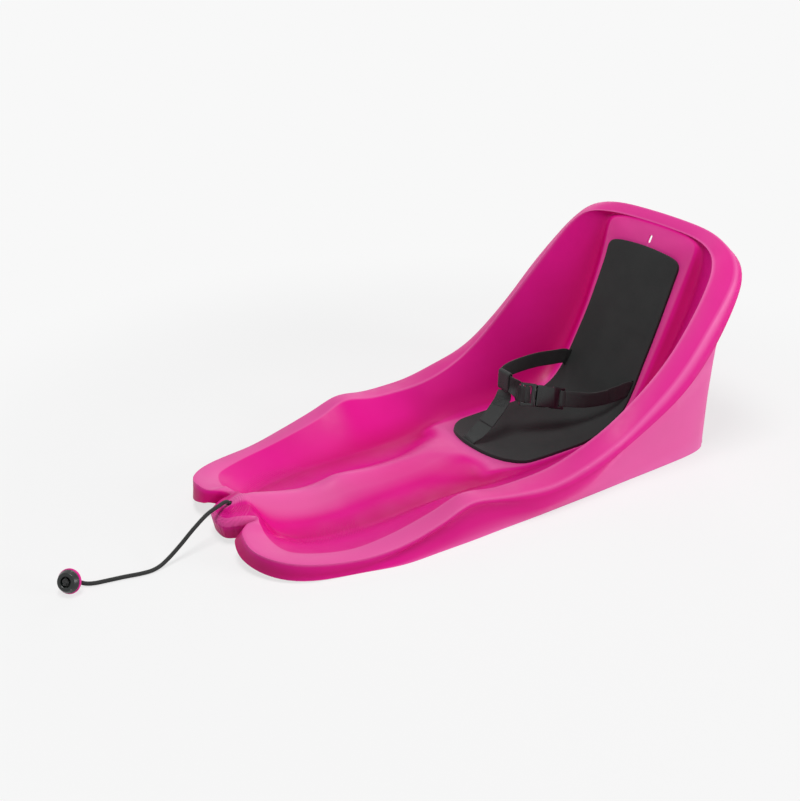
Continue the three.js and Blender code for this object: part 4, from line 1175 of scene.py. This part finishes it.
@dataclass
class Stitches:
    """Rows of thread on the webbing."""

    thread: Material
    length: float = 0.0022
    pitch: float = 0.0030
    radius: float = 0.00028
    sides: int = 6

    def line(self, start: Vector, end: Vector, out: Vector) -> list[Piece]:
        """The stitches between two points, each a short round bar, on webbing that faces out."""
        count = max(int((end - start).length / self.pitch), 1)
        made = [cylinder(self.radius, self.length, self.sides) for _ in range(count)]
        for k, stitch in enumerate(made):
            place_by(stitch, axes(start.lerp(end, (k + 0.5) / count), out, end - start))
        return made

    def box(self, centre: Vector, along: Vector, across: Vector, size: Pair) -> Piece:
        """A sewn box with a cross in it.

        Args:
            centre: Its middle, on the webbing's surface.
            along: Direction of its length.
            across: Direction of its width.
            size: Its length and width in metres.

        Returns:
            The stitches as one mesh.
        """
        out = along.cross(across).normalized()
        a, b = along.normalized() * size[0] / 2, across.normalized() * size[1] / 2
        corners = [centre - a - b, centre + a - b, centre + a + b, centre - a + b]
        rows = [(corners[k], corners[(k + 1) % 4]) for k in range(4)]
        rows += [(corners[0], corners[2]), (corners[1], corners[3])]
        made = [s for start, end in rows for s in self.line(start, end, out)]
        seam = join("stitches", made)
        cover(seam, self.thread)
        return seam


@dataclass
class BuckleFrame:
    """Where the buckle lies: x along the strap from the tongue's free end, z out of its face."""

    ladder_bar: float = 0.004
    ladder_slot: float = 0.0054
    tongue_base: float = 0.007
    tongue_thickness: float = 0.004
    mouth_gap: float = 0.001
    housing_length: float = 0.047
    gap: float = 0.0003
    start_at: Place = (0.02, 0.648, 0.245)
    runs_to: Place = (0.17, 0.74, 0.19)
    faces: Place = (0.854, -0.258, 0.441)

    def __post_init__(self) -> None:
        """Work out the frame and the bars' places."""
        start, face = BODY.at(self.start_at), Vector(self.faces)
        self.axis = (BODY.at(self.runs_to) - start).normalized()
        face = (face - self.axis * face.dot(self.axis)).normalized()
        self.across = face.cross(self.axis)
        self.matrix = axes(start, self.axis, face)
        self.middle_bar = self.ladder_bar + self.ladder_slot
        housing_start = 2 * self.middle_bar + self.tongue_base + self.mouth_gap
        self.end_bar = housing_start + self.housing_length - self.ladder_bar / 2
        self.clear_short = self.tongue_thickness + 2 * self.gap
        self.clear_long = self.ladder_bar + self.clear_short

    def at(self, x: float, y: float = 0.0, z: float = 0.0) -> Vector:
        """A point in the buckle's frame."""
        return self.matrix @ Vector((x, y, z))


BUCKLE = BuckleFrame()


@dataclass
class Harness:
    """The lap belt, the crotch strap, their anchors and stitches."""

    finishes: Finishes
    webbing: Webbing = field(default_factory=Webbing)
    pad_thickness: float = 0.005
    anchor_diameter: float = 0.005
    anchor_length: float = 0.038
    anchor_edge: float = 0.001
    anchor_sides: int = 28
    loop_height: float = 0.031
    loop_clear: float = 0.0056
    loop_at: Place = (-0.064, 0.625, 0.31)
    left_route: tuple[Place, ...] = ((-0.37, 0.845, 0.24), (-0.31, 0.8, 0.272), (-0.25, 0.747, 0.305),
                                     (-0.205, 0.697, 0.322), (-0.175, 0.655, 0.325), (-0.152, 0.634, 0.318))
    loop_pass: tuple[float, ...] = (-0.13, -0.05, 0.025)
    past_loop: Place = (0.043, 0.631, 0.294)
    right_route: tuple[Place, ...] = ((0.25, 0.785, 0.178), (0.315, 0.818, 0.19), (0.358, 0.836, 0.21))
    crotch_route: tuple[Place, ...] = ((-0.003, 0.547, 0.09), (-0.012, 0.572, 0.125), (-0.027, 0.598, 0.175),
                                       (-0.042, 0.617, 0.22))
    crotch_width: Place = (0.8, 0.6, 0.0)
    seam_lift: float = 1.55
    seam_size: Pair = (0.016, 0.017)

    def leaving(self, spot: Spot, width: Vector) -> list[tuple[Vector, Vector]]:
        """The first rows of a strap, from its sleeve out through its slot."""
        behind = BODY.wall + self.webbing.gap + self.webbing.thickness / 2
        return [(spot.rise(h), width.copy()) for h in (-behind, 0.0, BODY.wall + self.pad_thickness)]

    def anchor_frame(self, spot: Spot, width: Vector) -> Matrix:
        """The frame of an anchor bar behind a slot."""
        depth = BODY.wall + self.webbing.gap + self.sleeve_clear() / 2 + self.webbing.thickness
        return axes(spot.rise(-depth), spot.normal, width)

    def sleeve_clear(self) -> float:
        """The clear opening of an anchor's sleeve."""
        return self.anchor_diameter + 2 * self.webbing.gap

    def anchor_sleeve(self, name: str, spot: Spot, width: Vector) -> Piece:
        """The sewn end of a strap round its anchor bar."""
        return self.webbing.sleeve(name, (self.sleeve_clear(),) * 2, self.anchor_frame(spot, width))

    def bar_sleeve(self, name: str, x: float) -> Piece:
        """The sewn loop of a belt round one of the buckle's bars, at a place along the buckle."""
        clear = (BUCKLE.clear_long, BUCKLE.clear_short)
        return self.webbing.sleeve(name, clear, axes(BUCKLE.at(x), BUCKLE.axis, BUCKLE.across))

    def anchor(self, name: str, node: str, where: Matrix) -> Piece:
        """A round bar with rounded ends, along z of a frame."""
        bar = cylinder(self.anchor_diameter / 2, self.anchor_length, self.anchor_sides)
        bar.name = bar.data.name = name
        round_edges(bar, self.anchor_edge, segments=3, degrees=50)
        place_by(bar, where)
        smooth(bar)
        return dressed(bar, self.finishes.acetal, "sled", node)

    def seams(self, start: tuple[Vector, Vector], end: Vector) -> list[Piece]:
        """Sewn boxes on both faces of a strap, between one of its rows and a point."""
        point, width = start
        along = (end - point).normalized()
        across = (width - along * width.dot(along)).normalized()
        lift = along.cross(across).normalized() * (self.webbing.thickness * self.seam_lift)
        middle, (length, breadth) = (point + end) / 2, self.seam_size
        stitches = Stitches(self.finishes.thread)
        return [stitches.box(middle + lift, along, across, (length, breadth)),
                stitches.box(middle - lift, across, along, (breadth, length))]

    def crotch_strap(self) -> Piece:
        """The crotch strap with its sewn loop round the belt."""
        web, spot = self.webbing, SLOTS.crotch
        route = self.leaving(spot, RIGHT)
        turned = Vector(self.crotch_width).normalized()
        route += [(BODY.at(place), turned) for place in self.crotch_route]
        loop = BODY.at(self.loop_at)
        foot = loop - UP * (self.loop_height / 2 + web.thickness / 2)
        route.append((foot, RIGHT))
        parts = [web.strip("crotch_strip", route),
                 web.sleeve("crotch_loop", (self.loop_height, self.loop_clear), axes(loop, UP, RIGHT)),
                 self.anchor_sleeve("crotch_end", spot, RIGHT),
                 web.doubled("crotch_lap", route[-4:], 1)]
        strap = join("crotch_strap_webbing", parts)
        smooth(strap, degrees=50)
        cover(strap, self.finishes.webbing)
        strap = join("crotch_strap_webbing", [strap, *self.seams(route[-3], route[-1][0])])
        return dressed(strap, None, "sled", "crotch_strap")

    def left_belt(self) -> Piece:
        """The left lap belt, from its slot through the loop to the tongue."""
        web, spot = self.webbing, SLOTS.left
        route = self.leaving(spot, spot.forward)
        route += [(BODY.at(place), UP) for place in self.left_route]
        route += [(BODY.at((x, *self.loop_at[1:])), UP) for x in self.loop_pass]
        route.append((BODY.at(self.past_loop), UP))
        over = BUCKLE.tongue_thickness / 2 + web.gap + web.thickness
        bar = BUCKLE.middle_bar + BUCKLE.ladder_bar / 2
        for x, z in ((-BUCKLE.ladder_bar, over), (BUCKLE.ladder_bar / 2, over),
                     (bar - BUCKLE.clear_long / 2, BUCKLE.tongue_thickness / 2)):
            route.append((BUCKLE.at(x, 0, z), BUCKLE.across))
        parts = [web.strip("left_strip", route), self.bar_sleeve("left_bar_end", bar),
                 self.anchor_sleeve("left_end", spot, spot.forward)]
        strap = join("lap_belt_left_webbing", parts)
        smooth(strap, degrees=50)
        return dressed(strap, self.finishes.webbing, "sled", "lap_belt_left")

    def right_belt(self) -> Piece:
        """The right lap belt, from the housing's bar to its slot."""
        web, spot = self.webbing, SLOTS.right
        reach = (BUCKLE.clear_long + web.thickness) / 2
        route = [(BUCKLE.at(BUCKLE.end_bar + reach), BUCKLE.across)]
        route += [(BODY.at(place), UP) for place in self.right_route]
        route += list(reversed(self.leaving(spot, spot.forward)))
        parts = [web.strip("right_strip", route), web.doubled("right_lap", route[:3], -1),
                 self.bar_sleeve("right_bar_end", BUCKLE.end_bar),
                 self.anchor_sleeve("right_end", spot, spot.forward)]
        strap = join("lap_belt_right_webbing", parts)
        smooth(strap, degrees=50)
        cover(strap, self.finishes.webbing)
        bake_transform(strap)
        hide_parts("lap_belt_right")
        return strap

    def build(self) -> list[Piece]:
        """Make all the straps and their anchors."""
        spots = (("belt_bar_left", "belt_anchor_left", SLOTS.left, SLOTS.left.forward),
                 ("belt_bar_right", "belt_anchor_right", SLOTS.right, SLOTS.right.forward),
                 ("crotch_bar", "crotch_anchor", SLOTS.crotch, RIGHT))
        bars = [self.anchor(name, node, self.anchor_frame(spot, width)) for name, node, spot, width in spots]
        return [self.left_belt(), self.right_belt(), self.crotch_strap(), *bars]


# Buckle


@dataclass
class SideReleaseBuckle:
    """The tongue, its two latch arms and the housing."""

    finishes: Finishes
    edge: float = 0.0005
    merge: float = 1e-5
    flat_angle: float = 1.0
    smooth_angle: float = 40.0

    def softened(self, node: str, name: str) -> Piece:
        """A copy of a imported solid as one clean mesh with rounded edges."""
        obj = bpy.data.objects.new(name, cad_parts[node].data.copy())
        bpy.context.scene.collection.objects.link(obj)
        obj.data.materials.clear()
        weld(obj, self.merge)
        with editing(obj):
            bpy.ops.mesh.dissolve_limited(angle_limit=math.radians(self.flat_angle))
        round_edges(obj, self.edge)
        smooth(obj, self.smooth_angle)
        return obj

    def build(self) -> list[Piece]:
        """Make the buckle's four pieces."""
        made = []
        for node, name, body in (("buckle_tongue", "tongue_frame", "sled"),
                                 ("latch_arm_upper", "arm_upper", "latch_arm_upper"),
                                 ("latch_arm_lower", "arm_lower", "latch_arm_lower"),
                                 ("buckle_housing", "housing_socket", "buckle_socket")):
            made.append(dressed(self.softened(node, name), self.finishes.acetal, body, node))
        return made


# Cord, knots and knob


@dataclass
class TowLine:
    """The tow cord with its knots and its pull knob."""

    finishes: Finishes
    diameter: float = 0.0054
    sides: int = 16
    step: float = 0.002
    knob_at: Place = (10.7, -195.5, 16.2)
    knob_axis_shares: Place = (0.62, -0.62, 0.48)
    cap_height: float = 0.008
    back_height: float = 0.005
    back_rim: float = 0.0014
    knob_diameter: float = 0.029
    recess_diameter: float = 0.013
    recess_depth: float = 0.004
    rounding: float = 0.003
    bore: float = 0.0032
    gap: float = 0.0003
    knot_diameter: float = 0.015
    knob_knot_diameter: float = 0.009
    knot_squash: float = 0.62
    knot_strand: float = 0.19
    knot_depth: float = 1.25
    knot_steps: int = 96
    knob_edge: float = 0.0007
    knob_sides: int = 64
    route: tuple[Place, ...] = (
        (0.4, 20.4, 50.2), (1.6, 15.4, 51.4), (3.2, 9.2, 50.4), (7.4, -9.6, 46.6), (12.6, -32.2, 34.8),
        (17.8, -54.7, 19.9), (22.4, -74.5, 8.6), (25, -86.6, 3.9), (26.7, -98, 2.8), (25.6, -110, 2.8),
        (20.4, -131.5, 2.8), (16.2, -152, 2.8), (13.2, -166, 2.9), (9.4, -175.4, 3.6), (5.4, -182.4, 6.2))

    @staticmethod
    def laid(place: Place) -> Vector:
        """A route point, written in millimetres from the nose, in the sled's frame."""
        return Vector((place[0] / 1000, place[1] / 1000 - BODY.base_shift, place[2] / 1000))

    def axis(self) -> Vector:
        """The knob's axis."""
        return Vector(self.knob_axis_shares).normalized()

    def keys(self) -> list[Vector]:
        """The points that the cord runs through, from the nose to the knob's recess."""
        hole, knob, axis = SLOTS.rope_hole, self.laid(self.knob_at), self.axis()
        points = [hole.rise(-BODY.wall), hole.rise(0.0)]
        points += [self.laid(place) for place in self.route]
        points += [knob + axis * (-self.back_height - self.diameter), knob.copy(),
                   knob + axis * (self.cap_height - self.recess_depth)]
        return points

    def cord(self, on_it: Sequence[Piece]) -> Piece:
        """The braided cord as one tube."""
        guide = Webbing(step_length=self.step)
        points, _ = guide.spaced([(p, UP) for p in self.keys()], False)
        cord = self.tube("tow_cord_braid", points, self.diameter / 2)
        dressed(cord, self.finishes.cord, "sled", "tow_cord")
        return cord

    def tube(self, name: str, points: Sequence[Vector], radius: float, closed: bool = False) -> Piece:
        """A round tube along a line, with its texture in metres.

        Args:
            name: Its name.
            points: The line.
            radius: Its radius.
            closed: Whether it is a ring.

        Returns:
            The tube.
        """
        angles = [2 * math.pi * i / self.sides for i in range(self.sides + 1)]
        ribs = []
        side = RIGHT
        for k in range(len(points)):
            ahead = heading(points, k, closed).normalized()
            side = (side - ahead * side.dot(ahead)).normalized()
            other = ahead.cross(side)
            ribs.append([((side * math.cos(angle) + other * math.sin(angle)) * radius, angle * radius)
                         for angle in angles])
        if closed:
            ribs[-1] = ribs[0]
        obj = swept(name, points, ribs)
        weld(obj)
        if not closed:
            close_ends(obj)
        smooth(obj, degrees=60)
        return obj

    def knot(self, name: str, node: str, centre: Vector, axis: Vector, diameter: float, body: str) -> Piece:
        """A tight overhand knot, drawn as a trefoil.

        Args:
            name: The piece's name.
            node: The node that it replaces.
            centre: Its middle.
            axis: The direction of the cord through it.
            diameter: Its outer diameter.
            body: The body that it rides on.

        Returns:
            The knot.
        """
        thick = diameter * self.knot_strand
        reach = (diameter / 2 - thick) / 3
        points = []
        for k in range(self.knot_steps + 1):
            t = 2 * math.pi * k / self.knot_steps
            points.append(Vector((math.sin(t) + 2 * math.sin(2 * t), math.cos(t) - 2 * math.cos(2 * t),
                                  -self.knot_depth * math.sin(3 * t))) * reach)
        strand = self.tube(name, points, thick, closed=True)
        place_by(strand, axes(centre, Vector((axis.z, axis.x, axis.y)), axis))
        return dressed(strand, self.finishes.cord, body, node)

    def turned(self, name: str, profile: Sequence[Pair]) -> Piece:
        """A piece turned round the knob's axis from a profile of radius and height."""
        sides, n = self.knob_sides, len(profile)
        places = np.zeros((sides + 1, n + 1, 3))
        for i in range(sides + 1):
            angle = 2 * math.pi * i / sides
            for k in range(n + 1):
                r, h = profile[k % n]
                places[i, k] = (r * math.cos(angle), r * math.sin(angle), h)
        obj = shaped_grid(name, places)
        weld(obj)
        round_edges(obj, self.knob_edge, segments=3, degrees=18)
        smooth(obj, degrees=40)
        place_by(obj, axes(self.laid(self.knob_at), UP, self.axis()))
        return obj

    def knob(self) -> list[Piece]:
        """The black cap with its recess, and the pink back."""
        rim, dish = self.knob_diameter / 2, self.recess_diameter / 2
        low, step = self.gap / 2, self.rounding / 3
        top, floor = self.cap_height, self.cap_height - self.recess_depth
        cap = self.turned("knob_cap", [
            (self.bore, low), (rim, low), (rim, low + step), (rim - step, low + self.rounding),
            (rim - self.rounding, top - step), (dish + step, top), (dish, top - step), (dish - step, floor),
            (self.bore, floor)])
        edge = rim + self.back_rim
        bottom = -low - self.back_height
        back = self.turned("knob_back", [
            (self.bore, bottom), (edge - self.rounding, bottom), (edge - step, bottom + step),
            (edge, bottom + self.rounding), (edge - step / 2, -low), (self.bore, -low)])
        return [dressed(cap, self.finishes.acetal, "pull_knob", "pull_knob_cap"),
                dressed(back, self.finishes.knob, "pull_knob", "pull_knob_back")]

    def build(self) -> list[Piece]:
        """Make the cord and all that is on it."""
        hole, knob, axis = SLOTS.rope_hole, self.laid(self.knob_at), self.axis()
        depth = BODY.wall + self.gap + self.knot_squash * self.knot_diameter / 2
        nose = self.knot("nose_knot_tied", "nose_knot", hole.rise(-depth), hole.normal, self.knot_diameter,
                         "sled")
        rise = self.cap_height - self.recess_depth + self.gap + self.knot_squash * self.knob_knot_diameter / 2
        end = self.knot("knob_knot_tied", "knob_knot", knob + axis * rise, axis, self.knob_knot_diameter,
                        "pull_knob")
        cap, back = self.knob()
        cord = self.cord([nose, end, cap, back])
        return [cord, nose, end, cap, back]


# Stage, lights and camera


@dataclass
class Studio:
    """The floor, the soft lights and the camera."""

    camera_at: Place = (1.0109, -0.7484, 0.7420)
    turn: float = 57.492
    tilt: float = 27.2084
    focal_pixels: float = 946.2
    image_width: float = 800.0
    sensor_width: float = 36.0
    floor_size: float = 60.0
    floor_colour: str = "f2f2f2"
    floor_drop: float = 0.0004
    background: str = "f8f8f8"
    clip_end: float = 200.0
    shadow_reach: Pair = (0.45, 1.0)
    glow_share: float = 0.75
    world_strength: float = 0.2
    aim: Place = (0.0, 0.05, 0.1)
    lamps: tuple[tuple[str, Place, float, float], ...] = (
        ("key lamp", (0.2, -0.45, 2.2), 0.8, 33), ("right lamp", (2.1, 1.4, 0.7), 0.9, 30),
        ("far lamp", (-1.9, 2.0, 1.5), 1.8, 12))

    def camera(self) -> None:
        """Set the camera at the photograph's place."""
        data = bpy.data.cameras.new("camera")
        data.sensor_fit = "HORIZONTAL"
        data.sensor_width = self.sensor_width
        data.lens = self.focal_pixels / self.image_width * self.sensor_width
        data.clip_end = self.clip_end
        obj = bpy.data.objects.new("camera", data)
        bpy.context.scene.collection.objects.link(obj)
        a, e = math.radians(self.turn), math.radians(self.tilt)
        right = Vector((math.cos(a), math.sin(a), 0))
        back = Vector((math.sin(a) * math.cos(e), -math.cos(a) * math.cos(e), math.sin(e)))
        obj.matrix_world = axes(Vector(self.camera_at), right, back)
        bpy.context.scene.camera = obj

    def floor(self) -> None:
        """A plain pale floor that keeps the sled's soft shadow."""
        pick_none()
        bpy.ops.mesh.primitive_plane_add(size=self.floor_size, location=(0, 0, -self.floor_drop))
        floor = bpy.context.object
        floor.name = "floor"
        bench = Bench("floor")
        bench.shade(Base_Color=linear(self.floor_colour), Roughness=1.0, Specular_IOR_Level=0.0)
        glow = bench.node("Emission", {"Color": linear(self.background), "Strength": 1.0})
        apart = bench.node("VectorMath", {0: bench.places.outputs["Object"]}, operation="LENGTH")
        even = bench.spread(apart.outputs["Value"], *self.shadow_reach, self.glow_share, 1.0)
        share = bench.times(bench.seen(), even)
        bench.surface("Material Output", share, bench.shader.outputs[0], glow.outputs[0])
        cover(floor, bench.material)

    def lamp(self, name: str, place: Place, size: float, power: float) -> None:
        """A square soft lamp that faces the sled."""
        data = bpy.data.lights.new(name, "AREA")
        data.size = size
        data.energy = power
        obj = bpy.data.objects.new(name, data)
        bpy.context.scene.collection.objects.link(obj)
        obj.location = place
        aim = Vector(self.aim) - Vector(place)
        obj.rotation_euler = aim.to_track_quat("-Z", "Y").to_euler()

    def lights(self) -> None:
        """Soft light from above, from the right and from behind, over a dim white world."""
        world = bpy.data.worlds.new("studio")
        bpy.context.scene.world = world
        sky = Nodes(world)
        dim = sky.tree.nodes["Background"]
        sky.put(dim.inputs["Color"], (1, 1, 1, 1))
        sky.put(dim.inputs["Strength"], self.world_strength)
        plain = sky.node("Background", {"Color": linear(self.background)})
        sky.surface("World Output", sky.seen(), dim.outputs[0], plain.outputs[0])
        for name, place, size, power in self.lamps:
            self.lamp(name, place, size, power)

    def build(self) -> None:
        """Set up the stage."""
        self.floor()
        self.lights()
        self.camera()
        bpy.context.scene.view_settings.view_transform = "Standard"


def main() -> None:
    """Build the sled."""
    logging.basicConfig(level=logging.INFO, format="%(name)s: %(message)s")
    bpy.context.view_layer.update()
    Studio().build()
    finishes = Finishes()
    pieces = TowLine(finishes).build()
    pieces += [Shell(finishes).build(), SeatPad(finishes).build()]
    pieces += Harness(finishes).build() + SideReleaseBuckle(finishes).build()
    for piece in pieces:
        log.info("%s: %d faces", piece.name, len(piece.data.polygons))


if __name__ == "__main__":
    main()
